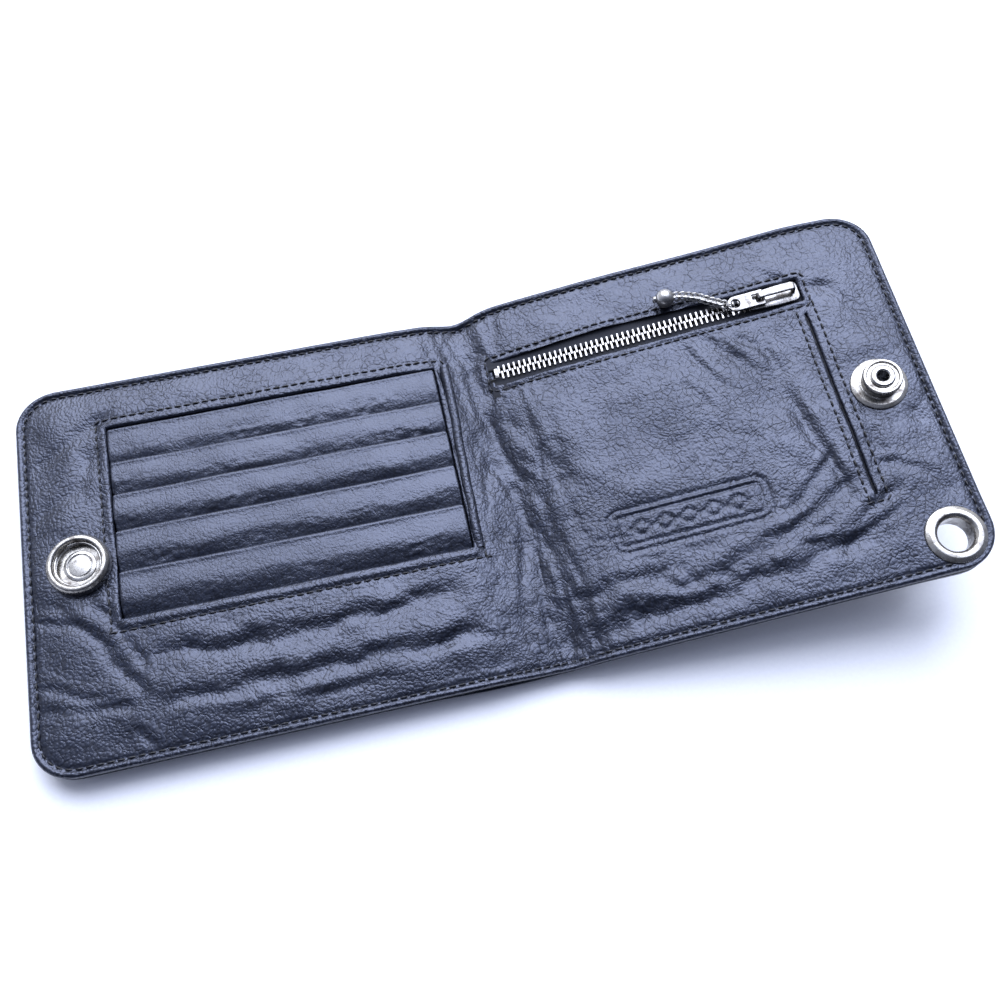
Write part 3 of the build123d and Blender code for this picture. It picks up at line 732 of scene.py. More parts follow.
@dataclass(frozen=True)
class Leather(Finish):
    """Drum-dyed, glazed full-grain leather: a near-black blue with a cool gloss on each pebble of the grain, with
    painted shade in the creases and round each pebble, duller where it is rubbed."""

    name: str = "glazed_full_grain_leather"
    painted_shade: str = "#05060a"
    body: str = "#12151e"
    bloom: str = "#1c212e"
    grain_mm: float = 0.8
    crease_mm: float = 1.9
    grain_depth: float = 0.13
    crease_depth: float = 0.09
    roughness: tuple[float, float] = (0.28, 0.42)

    def surface(self, add: Callable, place: NodeSocket) -> dict:
        """Adds pebbles, creases, patches and fine pores, with painted shade in the creases and round the pebbles,
        as Finish.surface says.
        """
        tex = "ShaderNodeTexNoise"
        stir = add(tex, {"Vector": place, "Scale": 1000 / 9, "Detail": 2.0, "Roughness": 0.55})
        moved = {0: stir.outputs["Color"], 1: (0.0035, 0.0035, 0.0035), 2: place}
        shift = add("ShaderNodeVectorMath", moved, operation="MULTIPLY_ADD")
        # Pebbles under a millimetre across, each a low dome.
        pebbles = {"Vector": shift, "Scale": 1000 / self.grain_mm, "Smoothness": 0.3, "Randomness": 0.95}
        pebble = add("ShaderNodeTexVoronoi", pebbles, feature="SMOOTH_F1").outputs["Distance"]
        # Creases run between groups of pebbles, a few millimetres apart, and come and go.
        creases = {"Vector": shift, "Scale": 1000 / self.crease_mm, "Randomness": 1.0}
        crease = add("ShaderNodeTexVoronoi", creases, feature="DISTANCE_TO_EDGE").outputs["Distance"]
        # The crease mask sinks the bump and also darkens the colour as painted shade.
        valley = add(
            "ShaderNodeValToRGB", {"Fac": crease}, [(0.0, grey(0.0)), (0.05, grey(0.6)), (0.14, grey(1.0))]
        )
        patches = add(
            tex, {"Vector": place, "Scale": 1000 / 22, "Detail": 4.0, "Roughness": 0.6}
        ).outputs["Fac"]
        breaks = add(
            tex, {"Vector": place, "Scale": 1000 / 3.0, "Detail": 2.0, "Roughness": 0.5}
        ).outputs["Fac"]
        fine = add(
            tex, {"Vector": place, "Scale": 1000 / 0.5, "Detail": 3.0, "Roughness": 0.65}
        ).outputs["Fac"]
        shown_where = add("ShaderNodeMath", {0: patches, 1: breaks}, operation="MULTIPLY")
        amount = add("ShaderNodeValToRGB", {"Fac": shown_where}, [(0.14, grey(0.0)), (0.30, grey(1.0))])
        shown = add("ShaderNodeMix", {0: amount, 6: grey(1.0), 7: valley}, data_type="RGBA").outputs[2]
        # Painted shade: the colour darkens from each pebble's middle to its edge.
        grain = add("ShaderNodeValToRGB", {"Fac": pebble}, [(0.35, grey(1.0)), (0.75, grey(0.0))])
        lit = add("ShaderNodeMath", {0: shown, 1: grain}, operation="MULTIPLY")
        dye = add("ShaderNodeValToRGB", {"Fac": patches}, [(0.3, srgb(self.body)), (0.7, srgb(self.bloom))])
        # Where the creases and the pebble edges are, the colour is mixed towards the near-black painted shade.
        colour = add("ShaderNodeMix", {0: lit, 6: srgb(self.painted_shade), 7: dye}, data_type="RGBA").outputs[2]
        pores = {"Height": pebble, "Distance": self.grain_depth * MM, "Strength": 1.0}
        bump = add("ShaderNodeBump", pores, invert=True)
        for height, depth in ((shown, self.crease_depth), (fine, 0.05)):
            bump = add(
                "ShaderNodeBump",
                {"Height": height, "Distance": depth * MM, "Strength": 0.8, "Normal": bump}
            )
        low, high = self.roughness
        return {
            "Base Color": colour,
            "Roughness": add("ShaderNodeValToRGB", {"Fac": patches}, [(0.3, grey(low)), (0.7, grey(high))]),
            "Normal": bump, "IOR": 1.5, "Specular IOR Level": 0.8, "Specular Tint": srgb("#dbe3ff"),
            "Coat Weight": 0.12, "Coat Roughness": 0.3
        }


@dataclass(frozen=True)
class EdgePaint(Finish):
    """Black edge paint on cut leather: thick, slightly uneven and semi-gloss, with the
    layers' lines just showing through."""

    name: str = "black_edge_paint"
    colour: str = "#10131c"
    line: str = "#1e2331"

    def surface(self, add: Callable, place: NodeSocket) -> dict:
        """Adds the layers' streaks and the paint's lumps, as Finish.surface says."""
        stretch = add("ShaderNodeMapping", {"Vector": place, "Scale": (1.0, 1.0, 6.0)})
        streak = add(
            "ShaderNodeTexNoise", {"Vector": stretch, "Scale": 1000 / 4, "Detail": 5.0}
        ).outputs["Fac"]
        lump = add(
            "ShaderNodeTexNoise", {"Vector": place, "Scale": 1000 / 1.3, "Detail": 2.0}
        ).outputs["Fac"]
        bump = add("ShaderNodeBump", {"Height": streak, "Distance": 0.12 * MM, "Strength": 0.8})
        lumps = {"Height": lump, "Distance": 0.06 * MM, "Strength": 0.7, "Normal": bump}
        stops = [(0.35, srgb(self.colour)), (0.7, srgb(self.line))]
        return {
            "Base Color": add("ShaderNodeValToRGB", {"Fac": streak}, stops),
            "Roughness": add("ShaderNodeValToRGB", {"Fac": lump}, [(0.3, grey(0.38)), (0.7, grey(0.55))]),
            "Normal": add("ShaderNodeBump", lumps), "Specular IOR Level": 0.5
        }


@dataclass(frozen=True)
class Metal(Finish):
    """Plated or cast metal with hairline polishing marks and a darker film where hands
    don't rub it."""

    name: str
    bright: str
    film: str
    roughness: tuple[float, float] = (0.12, 0.3)
    film_mm: float = 3.0
    scratch_mm: float = 0.25
    dents: float = 0.03

    def surface(self, add: Callable, place: NodeSocket) -> dict:
        """Adds the film's clouds, the hairlines and the dents, as Finish.surface says."""
        clouds = {"Vector": place, "Scale": 1000 / self.film_mm, "Detail": 5.0, "Roughness": 0.65}
        cloud = add("ShaderNodeTexNoise", clouds).outputs["Fac"]
        stretch = add("ShaderNodeMapping", {"Vector": place, "Scale": (1.0, 9.0, 9.0)})
        lines = {"Vector": stretch, "Scale": 100 / self.scratch_mm, "Detail": 3.0}
        hair = add("ShaderNodeTexNoise", lines).outputs["Fac"]
        ding = add(
            "ShaderNodeTexNoise", {"Vector": place, "Scale": 1000 / 1.4, "Detail": 2.0}
        ).outputs["Fac"]
        bump = add("ShaderNodeBump", {"Height": ding, "Distance": self.dents * MM, "Strength": 0.6})
        hairlines = {"Height": hair, "Distance": 0.004 * MM, "Strength": 0.35, "Normal": bump}
        low, high = self.roughness
        stops = [(0.34, srgb(self.film)), (0.55, srgb(self.bright))]
        return {
            "Base Color": add("ShaderNodeValToRGB", {"Fac": cloud}, stops), "Metallic": 1.0,
            "Roughness": add("ShaderNodeValToRGB", {"Fac": cloud}, [(0.3, grey(high)), (0.65, grey(low))]),
            "Normal": add("ShaderNodeBump", hairlines)
        }


@dataclass(frozen=True)
class Woven(Finish):
    """Plain-woven polyester, seen as fine crossing threads with a dull soft sheen."""

    name: str
    thread: str
    gap: str
    thread_mm: float = 0.35

    def surface(self, add: Callable, place: NodeSocket) -> dict:
        """Adds the warp and the weft, as Finish.surface says."""
        threads = {"Vector": place, "Scale": 1000 / self.thread_mm / 20, "Distortion": 0.6, "Detail": 1.0}
        warp, weft = [
            add(
                "ShaderNodeTexWave", threads, wave_type="BANDS", bands_direction=axis
            ).outputs["Fac"] for axis in "XY"
        ]
        cross = add("ShaderNodeMath", {0: warp, 1: weft}, operation="MAXIMUM")
        stops = [(0.2, srgb(self.gap)), (0.8, srgb(self.thread))]
        return {
            "Base Color": add("ShaderNodeValToRGB", {"Fac": cross}, stops), "Roughness": 0.82,
            "Normal": add("ShaderNodeBump", {"Height": cross, "Distance": 0.16 * MM, "Strength": 0.9}),
            "Sheen Weight": 0.08, "Sheen Roughness": 0.5
        }


@dataclass(frozen=True)
class Thread(Finish):
    """Bonded nylon sewing thread, black, twisted, with a small waxy highlight."""

    name: str = "bonded_nylon_thread"
    colour: str = "#06070b"
    light: str = "#181a24"

    def surface(self, add: Callable, place: NodeSocket) -> dict:
        """Adds the slanting plies, as Finish.surface says."""
        turn = add("ShaderNodeMapping", {"Vector": place, "Rotation": (0.0, 0.0, math.radians(35))})
        plies = {"Vector": turn, "Scale": 1000 / 0.3 / 20, "Distortion": 1.0}
        ply = add("ShaderNodeTexWave", plies, wave_type="BANDS", bands_direction="X").outputs["Fac"]
        return {
            "Base Color": add(
                "ShaderNodeValToRGB", {"Fac": ply}, [(0.1, srgb(self.colour)), (0.9, srgb(self.light))]
            ),
            "Roughness": 0.48,
            "Normal": add("ShaderNodeBump", {"Height": ply, "Distance": 0.05 * MM, "Strength": 0.9})
        }


@dataclass(frozen=True)
class Paper(Finish):
    """A matt white paper sweep, as a studio floor."""

    name: str = "white_paper_sweep"
    colour: str = "#f6f7fc"

    def surface(self, add: Callable, place: NodeSocket) -> dict:
        """Adds the fibres, as Finish.surface says."""
        fibre = add("ShaderNodeTexNoise", {"Vector": place, "Scale": 900.0, "Detail": 3.0}).outputs["Fac"]
        stops = [(0.3, srgb(self.colour)), (0.7, srgb("#fafbff"))]
        colour = add("ShaderNodeValToRGB", {"Fac": fibre}, stops)
        return {"Base Color": colour, "Roughness": 0.95, "Specular IOR Level": 0.1}


class Finishes:
    """Every material of the wallet, built once."""

    def __init__(self) -> None:
        """Builds the materials."""
        self.leather = Leather().build()
        self.pocket_leather = Leather(
            name="thin_glazed_pocket_leather", grain_mm=0.7, grain_depth=0.07, crease_mm=1.5,
            crease_depth=0.045
        ).build()
        self.cover_leather = Leather(name="glazed_cover_leather", grain_mm=0.9, crease_mm=2.4).build()
        self.edge = EdgePaint().build()
        self.thread = Thread().build()
        self.lining = Woven("black_twill_lining", "#1a1b22", "#06060a").build()
        self.tape = Woven("polyester_zip_tape", "#141722", "#010102", thread_mm=1.3).build()
        self.nickel = Metal("bright_nickel_plate", "#c4c2be", "#7b7773", (0.16, 0.32)).build()
        self.worn_nickel = Metal(
            "rubbed_nickel_plate", "#b8b5af", "#645e59", (0.2, 0.4), dents=0.06
        ).build()
        self.zip_metal = Metal(
            "polished_nickel_silver", "#a6a4a3", "#6c6967", (0.16, 0.32), film_mm=2.0
        ).build()
        self.slider_metal = Metal(
            "worn_nickel_silver", "#9a9897", "#57534f", (0.18, 0.36), film_mm=2.0
        ).build()
        self.silver = Metal(
            "darkened_silver", "#c6c4c0", "#7d7976", (0.26, 0.42), film_mm=1.2, dents=0.05
        ).build()
        self.paper = Paper().build()


# ==== The wallet's surface ====


@dataclass(frozen=True)
class Spot:
    """A round fitting's place on a panel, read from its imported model."""

    node: str
    side: Side
    radius: float

    @property
    def centre(self) -> tuple[float, float]:
        """The fitting's middle in flat s and v, in mm."""
        low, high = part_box(self.node)
        middle = np.array((low + high) / 2) / MM
        if self.side is Side.LEFT:
            return float(middle[0]), float(middle[1])
        return float((middle - LAYOUT.hinge) @ LAYOUT.along), float(middle[1])

    def distance(self, s: Array, v: Array) -> Array:
        """Returns how far flat points are from the fitting's axis."""
        cs, cv = self.centre
        return np.hypot(s - cs, v - cv)


SOCKET = Spot("snap_socket_ring", Side.LEFT, 8.0)
STUD = Spot("snap_stud", Side.RIGHT, 7.25)
EYELET = Spot("chain_eyelet", Side.RIGHT, 7.5)
FITTINGS = (SOCKET, STUD, EYELET)
BALL = Spot("pull_ball", Side.RIGHT, 2.0)
SLIP_SEAM = -19.3  # the v of the seam below the cards
EYELET_CUT = 5.9  # radius of the leather's hole under the eyelet's rim


@dataclass(frozen=True)
class Fold:
    """A soft valley pressed into the leather, with a low crest beside it."""

    start: tuple[float, float]
    end: tuple[float, float]
    width: float
    depth: float
    bend: float = 0.0
    crest: float = 0.45

    def height(self, s: Array, v: Array, seed: int) -> Array:
        """Returns the fold's height over flat points, in mm, mostly negative.

        Args:
            s: Across.
            v: Along.
            seed: Chooses how the fold wanders.

        Returns:
            Heights of the same shape.
        """
        a, b = np.array(self.start), np.array(self.end)
        length = np.linalg.norm(b - a)
        d = (b - a) / length
        t = ((s - a[0]) * d[0] + (v - a[1]) * d[1]) / length
        off = -(s - a[0]) * d[1] + (v - a[1]) * d[0]
        off = off - self.bend * np.sin(math.pi * np.clip(t, 0, 1))
        wander = 0.9 * noise(s / 11, v / 11, seed) + 0.35 * noise(s / 4, v / 4, seed + 1)
        off = off + self.width * (wander + 0.22 * noise(s / 1.7, v / 1.7, seed + 3))
        fade = smooth((t + 0.1) / 0.25) * smooth((1.1 - t) / 0.25)
        vary = 0.75 + 0.5 * noise(s / 13, v / 13, seed + 2)
        valley = -hump(off, 0.0, self.width)
        crest = self.crest * hump(off, 1.9 * self.width, 1.3 * self.width)
        return self.depth * fade * vary * (valley + crest)


@dataclass(frozen=True)
class Hide:
    """How the used leather has settled: its folds, its crinkles and its soft waves."""

    folds: tuple[Fold, ...] = (
        # Two long folds across the slip pocket, below the cards.
        Fold((-90, -27.5), (-16, -27.0), 2.1, 0.95, -1.2),
        Fold((-88, -38.0), (-8, -38.5), 2.3, 1.1, -1.4),
        Fold((-84, -44.5), (-30, -45.5), 1.6, 0.4),
        # Strains that run out from the snap.
        Fold((-113, -8.5), (-94, -36.0), 1.5, 0.9, 1.5),
        Fold((-103, -10.0), (-92, -31.0), 1.2, 0.7, 0.8),
        Fold((-117, -12.0), (-106, -16.0), 1.0, 0.5),
        Fold((-117, -29.0), (-99, -35.5), 1.2, 0.55, -1.0),
        Fold((-117, -34.5), (-96, -38.5), 1.2, 0.6, -0.8),
        Fold((-114, 14.0), (-101, 32.0), 1.8, 0.5, -1.5),
        Fold((-115, 28.0), (-96, 42.5), 1.6, 0.5, 1.2),
        Fold((-96, -44.0), (-91, -49.0), 1.0, 0.4),
        # Waves below the stamped frame.
        Fold((20, -45.0), (96, -38.0), 2.6, 1.2, -1.5),
        Fold((34, -37.5), (84, -32.5), 2.2, 0.8, -2.0),
        Fold((16, -36.0), (44, -34.0), 1.8, 0.5),
        Fold((24, -21.5), (38, -24.0), 0.7, 0.5),
        # Creases between the coin pocket and the slit.
        Fold((70, 24.0), (88, -8.0), 1.3, 0.6, 2.0),
        Fold((82, 25.0), (91, -30.0), 1.5, 0.6, -1.5),
        Fold((78, 10.0), (90, -24.0), 1.1, 0.45, 2.0),
        Fold((61, 25.0), (71, 9.0), 1.1, 0.4, -1.0),
        Fold((66, 26.5), (79, 7.0), 1.2, 0.6, 1.5),
        Fold((71, 25.0), (78, 13.0), 0.8, 0.35),
        Fold((75, 25.0), (86, 11.0), 1.0, 0.45, 1.0),
        Fold((58, 16.0), (63, 6.0), 0.9, 0.3),
        Fold((100, 34.0), (112, 16.0), 1.4, 0.5, 2.0),
        Fold((84, 44.0), (106, 31.0), 1.3, 0.45, -2.0),
        Fold((99, -20.0), (114, -33.0), 1.5, 0.5, 1.5),
        Fold((84, -40.0), (101, -33.0), 1.3, 0.5),
        Fold((64, -33.0), (92, -22.5), 1.3, 0.65, -2.0),
        Fold((76, -38.0), (102, -26.5), 1.4, 0.7, -2.0),
        Fold((72, -27.0), (90, -14.0), 1.0, 0.45, -1.5),
        Fold((104, -3.0), (114, -13.0), 1.2, 0.45, 1.0),
        Fold((100, 8.0), (101, -18.0), 1.2, 0.35),
        # The dent at the left of the coin pocket.
        Fold((13, 20.0), (18, -6.0), 4.0, 0.7, 1.0, 0.2),
    )
    crease_top: float = 1.0
    crease_bottom: float = 11.5

    def calm(self, s: Array, v: Array) -> Array:
        """Returns 0 under a fitting, where the leather is clamped flat, rising to 1 away from it."""
        out = np.ones_like(s)
        for spot in (*FITTINGS, BALL):
            out *= smooth((spot.distance(s, v) - spot.radius - 0.2) / 5.0)
        return out

    def crease_offset(self, s: Array, v: Array) -> Array:
        """Returns how far flat points are from the line along which the wallet folds."""
        share = (v + LAYOUT.height / 2) / LAYOUT.height
        return s - (self.crease_bottom + (self.crease_top - self.crease_bottom) * share)

    def height(self, s: Array, v: Array) -> Array:
        """Returns the leather's relief over flat points, in mm."""
        d = LAYOUT.edge_distance(s, v)
        wave = 0.5 * noise(s / 19, v / 19, 3) + 0.23 * noise(s / 7.5, v / 7.5, 4)
        total = wave * smooth((d - 0.5) / 8)
        for k, fold in enumerate(self.folds):
            total += fold.height(s, v, 20 + 5 * k)
        stir_s = s + 2.6 * noise(s / 7, v / 7, 8) + 0.8 * noise(s / 2.4, v / 2.4, 18)
        stir_v = v + 2.6 * noise(s / 7, v / 7, 9) + 0.8 * noise(s / 2.4, v / 2.4, 19)
        busy = self.busy(s, v)
        for size, depth, seed in ((7.0, 0.26, 11), (3.6, 0.17, 12), (2.1, 0.09, 17)):
            edge = cell_edges(stir_s / size, stir_v / size, seed)
            broken = smooth(noise(s / (0.9 * size), v / (0.9 * size), seed + 30) * 1.1 + 0.45)
            total -= depth * hump(edge, 0, 0.12) * busy * broken
        near_fold = hump(self.crease_offset(s, v), 0.0, 13.0)
        for width, length, depth, seed in (
            (5.0, 30.0, 0.55, 13), (2.4, 13.0, 0.28, 15), (3.0, 5.0, 0.2, 16)
        ):
            lines = noise((s + 0.1 * v) / width, v / length, seed)
            total -= depth * hump(lines, 0, 0.17) * near_fold
        inside_stamp = smooth(1.6 - np.maximum(np.abs(s - 49.5) / 24.0, np.abs(v + 21.5) / 8.5) * 1.6 + 0.4)
        total *= 1 - 0.65 * inside_stamp
        return total * self.calm(s, v) * smooth((d + 0.3) / 3.2)

    def busy(self, s: Array, v: Array) -> Array:
        """Returns how crinkled the leather is at flat points, from 0 to about 1."""
        patches = smooth(noise(s / 17, v / 17, 14) * 0.9 + 0.55)
        fold = hump(self.crease_offset(s, v), 0.0, 22.0)
        right = 0.55 * smooth((s - 4) / 20)
        low = 0.45 * smooth((-18 - v) / 12)
        return np.clip(0.12 + 0.55 * fold + right * patches + low * patches, 0, 1.15)

    def sag(self, s: Array, v: Array) -> Array:
        """Returns how far the leather sinks along the fold, in mm."""
        x = self.crease_offset(s, v)
        return 1.25 * hump(x, 0.0, 4.6) + 0.7 * hump(x, -1.0, 14.0)


HIDE = Hide()


def fullness(s: Array, v: Array) -> tuple[Array, Array]:
    """Returns each panel's thickness over flat points, as a share of its full thickness.

    Args:
        s: Across.
        v: Along.

    Returns:
        The left panel's share and the right panel's: small at the sewn rim, 1 inside.
    """
    d = LAYOUT.edge_distance(s, v)
    rise = smooth((d - LAYOUT.stitch_inset) / 10.0)
    for spot in FITTINGS:
        rise = np.maximum(rise, 1 - smooth((spot.distance(s, v) - spot.radius - 0.6) / 6.0))
    left = LAYOUT.rim_left / (LAYOUT.left_top - LAYOUT.left_back)
    right = LAYOUT.rim_right / (LAYOUT.right_top - LAYOUT.right_back)
    return left + (1 - left) * rise, right + (1 - right) * rise


def pressed(s: Array, v: Array, w_left: float, w_right: float) -> tuple[Array, Array]:
    """Returns a layer's heights once the rim has been sewn flat and has curled up off the table.

    Args:
        s: Across.
        v: Along.
        w_left: The layer's height inside the left panel.
        w_right: The layer's height inside the right panel.

    Returns:
        Heights in the left panel's frame and in the right panel's.
    """
    left, right = fullness(s, v)
    full_left = LAYOUT.left_top - LAYOUT.left_back
    full_right = LAYOUT.right_top - LAYOUT.right_back
    lift_left = LAYOUT.rim_lift * (1 - left) * full_left
    lift_right = LAYOUT.rim_lift * (1 - right) * full_right
    return (
        LAYOUT.left_back + lift_left + (w_left - LAYOUT.left_back) * left,
        LAYOUT.right_back + lift_right + (w_right - LAYOUT.right_back) * right
    )


@dataclass(frozen=True)
class Window:
    """A rectangular opening in the inner leather."""

    s0: float
    s1: float
    v0: float
    v1: float

    def outside(self, s: Array, v: Array) -> Array:
        """Returns how far flat points are outside the opening, 0 within it."""
        ds = np.maximum(np.maximum(self.s0 - s, s - self.s1), 0)
        dv = np.maximum(np.maximum(self.v0 - v, v - self.v1), 0)
        return np.hypot(ds, dv)

    def holds(self, s: Array, v: Array) -> Array:
        """Returns which flat points are in the opening."""
        return (s > self.s0) & (s < self.s1) & (v > self.v0) & (v < self.v1)

    def around(self, offset: float, corner: float = 1.5, low_open: bool = False) -> Array:
        """Returns an outline that far outside the opening, as rows of s and v."""
        a, b, c, d = self.s0 - offset, self.s1 + offset, self.v0 - offset, self.v1 + offset
        if low_open:
            return rounded([(a, c, 0), (a, d, corner), (b, d, corner), (b, c, 0)], closed=False)
        path = rounded([(a, c, corner), (b, c, corner), (b, d, corner), (a, d, corner)])
        return np.concatenate([path, path[:1]])


CARDS = Window(-97.2, -6.6, -16.0, 38.0)
ZIP = Window(8.9, 96.4, 29.8, 36.5)
SLIT = Window(95.45, 95.95, -28.7, 25.6)
EDGE_STEPS = (0.0, 0.3, 0.7, 1.2, 1.9)


def beside(edge: float, direction: int) -> list[float]:
    """Returns grid lines that crowd up to an opening's edge from one side."""
    return [edge + direction * step for step in EDGE_STEPS]


def zip_gape(s: Array, v: Array) -> Array:
    """Returns v after the zip window's upper lip has been drawn up, as it gapes in use."""
    lift = 1.3 * hump(s, 42.0, 21.0)
    return v + np.where(v >= ZIP.v1 - 1e-6, lift * np.exp(-np.abs(v - ZIP.v1) / 7.0), 0.0)


@dataclass(frozen=True)
class Stamp:
    """A plain frame pressed into the leather: two rounded outlines and a row of diamonds."""

    centre: tuple[float, float] = (49.5, -21.5)
    size: tuple[float, float] = (42.0, 11.5)
    corner: float = 3.0
    line: float = 0.45
    gap: float = 1.8
    depth: float = 0.62

    def height(self, s: Array, v: Array) -> Array:
        """Returns the stamp's relief over flat points, in mm."""
        x, y = s - self.centre[0], v - self.centre[1]
        qx = np.abs(x) - (self.size[0] / 2 - self.corner)
        qy = np.abs(y) - (self.size[1] / 2 - self.corner)
        box = np.hypot(
            np.maximum(qx, 0), np.maximum(qy, 0)
        ) + np.minimum(np.maximum(qx, qy), 0) - self.corner
        total = -self.depth * (hump(box, 0.0, self.line) + 0.8 * hump(box, -self.gap, self.line))
        for k in (-2, -1, 0, 1, 2):
            diamond = np.abs(x - 6.4 * k) / 1.25 + np.abs(y)
            total -= 0.9 * self.depth * hump(diamond, 2.1, self.line)
        return total - 0.06 * smooth(-box / 0.6)


STAMP = Stamp()


def face_height(s: Array, v: Array) -> tuple[Array, Array]:
    """Returns the inner leather's top over flat points, in each panel's frame.

    Args:
        s: Across.
        v: Along.

    Returns:
        Heights in the left panel's frame and in the right panel's.
    """
    left, right = pressed(s, v, LAYOUT.left_top, LAYOUT.right_top)
    d = LAYOUT.edge_distance(s, v)
    relief = HIDE.height(s, v) - HIDE.sag(s, v) + STAMP.height(s, v)
    # A round bead outside the seam, which pulls down between.
    rim = 0.34 * hump(d, 0.95, 0.75) - 0.42 * hump(d, LAYOUT.stitch_inset, 0.5)
    rim -= 0.55 * rolled_over(d / 0.75)
    rim *= 1 - 0.7 * (EYELET.distance(s, v) < EYELET.radius + 0.6)
    lips = np.zeros_like(s)
    for window, roll in ((CARDS, 0.55), (ZIP, 0.6), (SLIT, 0.3)):
        out = window.outside(s, v)
        lips += 0.16 * hump(out, 0.9, 0.8) - roll * 0.75 * rolled_over(out / roll)
    for window, inset in ((CARDS, 2.6), (ZIP, 1.8)):
        out = window.outside(s, v)
        lips -= 0.16 * hump(out, inset, 0.5)
    # The slip pocket's folded top edge stands up below the cards.
    over = smooth((s + 99) / 3) * smooth((-3.5 - s) / 3)
    lips += over * (0.42 * hump(v, -18.1, 1.3) - 0.3 * hump(v, SLIP_SEAM, 0.5))
    lips *= HIDE.calm(s, v)
    return left + relief + rim + lips, right + relief + rim + lips


def fitting_holes(s: Array, v: Array, names: Sequence[Spot], radius: float) -> Array:
    """Returns which flat points lie within that radius of one of the fittings."""
    out = np.zeros(s.shape, bool)
    for spot in names:
        out |= spot.distance(s, v) < radius
    return out


@dataclass
class InnerLeather:
    """The leather that lines the open wallet: both faces and the fold between them, in one skin."""

    finishes: Finishes
    step: float = 0.82
    thick_left: float = 1.0
    thick_right: float = 0.85
    spare: tuple[str, ...] = ("inner_face_left", "inner_face_right", "inner_spine")

    def lines(self) -> tuple[Array, Array]:
        """Returns the grid's columns and rows, crowded at the rim, the openings and the stamp."""
        rim = (0.12, 0.35, 0.7, 1.2, 1.7, 2.1, 2.5, 3.1)
        w, h = LAYOUT.width, LAYOUT.height / 2
        across = both_ends(-w, w, rim)
        across += beside(CARDS.s0, -1) + beside(CARDS.s1, 1) + beside(ZIP.s0, -1)
        across += beside(SLIT.s0, -1) + beside(SLIT.s1, 1) + [ZIP.s1]
        across += list(np.arange(27.5, 72.0, 0.62))
        along = both_ends(-h, h, rim)
        along += beside(CARDS.v0, -1) + beside(CARDS.v1, 1) + beside(ZIP.v0, -1) + beside(ZIP.v1, 1)
        along += [SLIT.v0, SLIT.v0 - 0.6, SLIT.v1, SLIT.v1 + 0.6]
        along += list(np.arange(-28.0, -15.0, 0.55))
        columns = thin_out(grid_lines(-w, w, self.step, across), 0.1)
        rows = thin_out(row_lines(LAYOUT, self.step, along), 0.1)
        return columns, rows

    def build(self) -> Object:
        """Builds and dresses the skin."""
        columns, rows = self.lines()
        s, v = np.meshgrid(columns, rows)
        mid_s, mid_v = middles(s, v)
        keep = ~(CARDS.holds(mid_s, mid_v) | ZIP.holds(mid_s, mid_v) | SLIT.holds(mid_s, mid_v))
        s, v = LAYOUT.round_corners(s, v)
        v = zip_gape(s, v)
        mid_s, mid_v = middles(s, v)
        keep &= ~fitting_holes(mid_s, mid_v, (EYELET,), EYELET_CUT)
        left, right = face_height(s, v)
        top = LAYOUT.place(s, v, left, right).reshape(-1, 3)
        low = LAYOUT.place(s, v, left - self.thick_left, right - self.thick_right).reshape(-1, 3)
        out = LAYOUT.edge_distance(s, v)
        near = np.minimum(
            np.minimum(CARDS.outside(s, v), ZIP.outside(s, v)), np.minimum(SLIT.outside(s, v), out)
        )
        thin = 0.45 + 0.55 * smooth(near / 1.2)
        low = top + (low - top) * thin.reshape(-1, 1)
        faces = grid_faces(len(rows), len(columns), keep)
        points, faces = tidy_unused(*shell(top, low, faces))
        obj = make_object("inner_leather", points, faces, self.finishes.leather)
        return tie(sharpen(obj, 75), "pocket_leather", *self.spare)


def thin_out(values: Array, gap: float) -> Array:
    """Drops values closer than gap to the one before, keeping both ends."""
    keep = [values[0]]
    for x in values[1:]:
        if x - keep[-1] >= gap:
            keep.append(x)
    keep[-1] = values[-1]
    return np.array(keep)


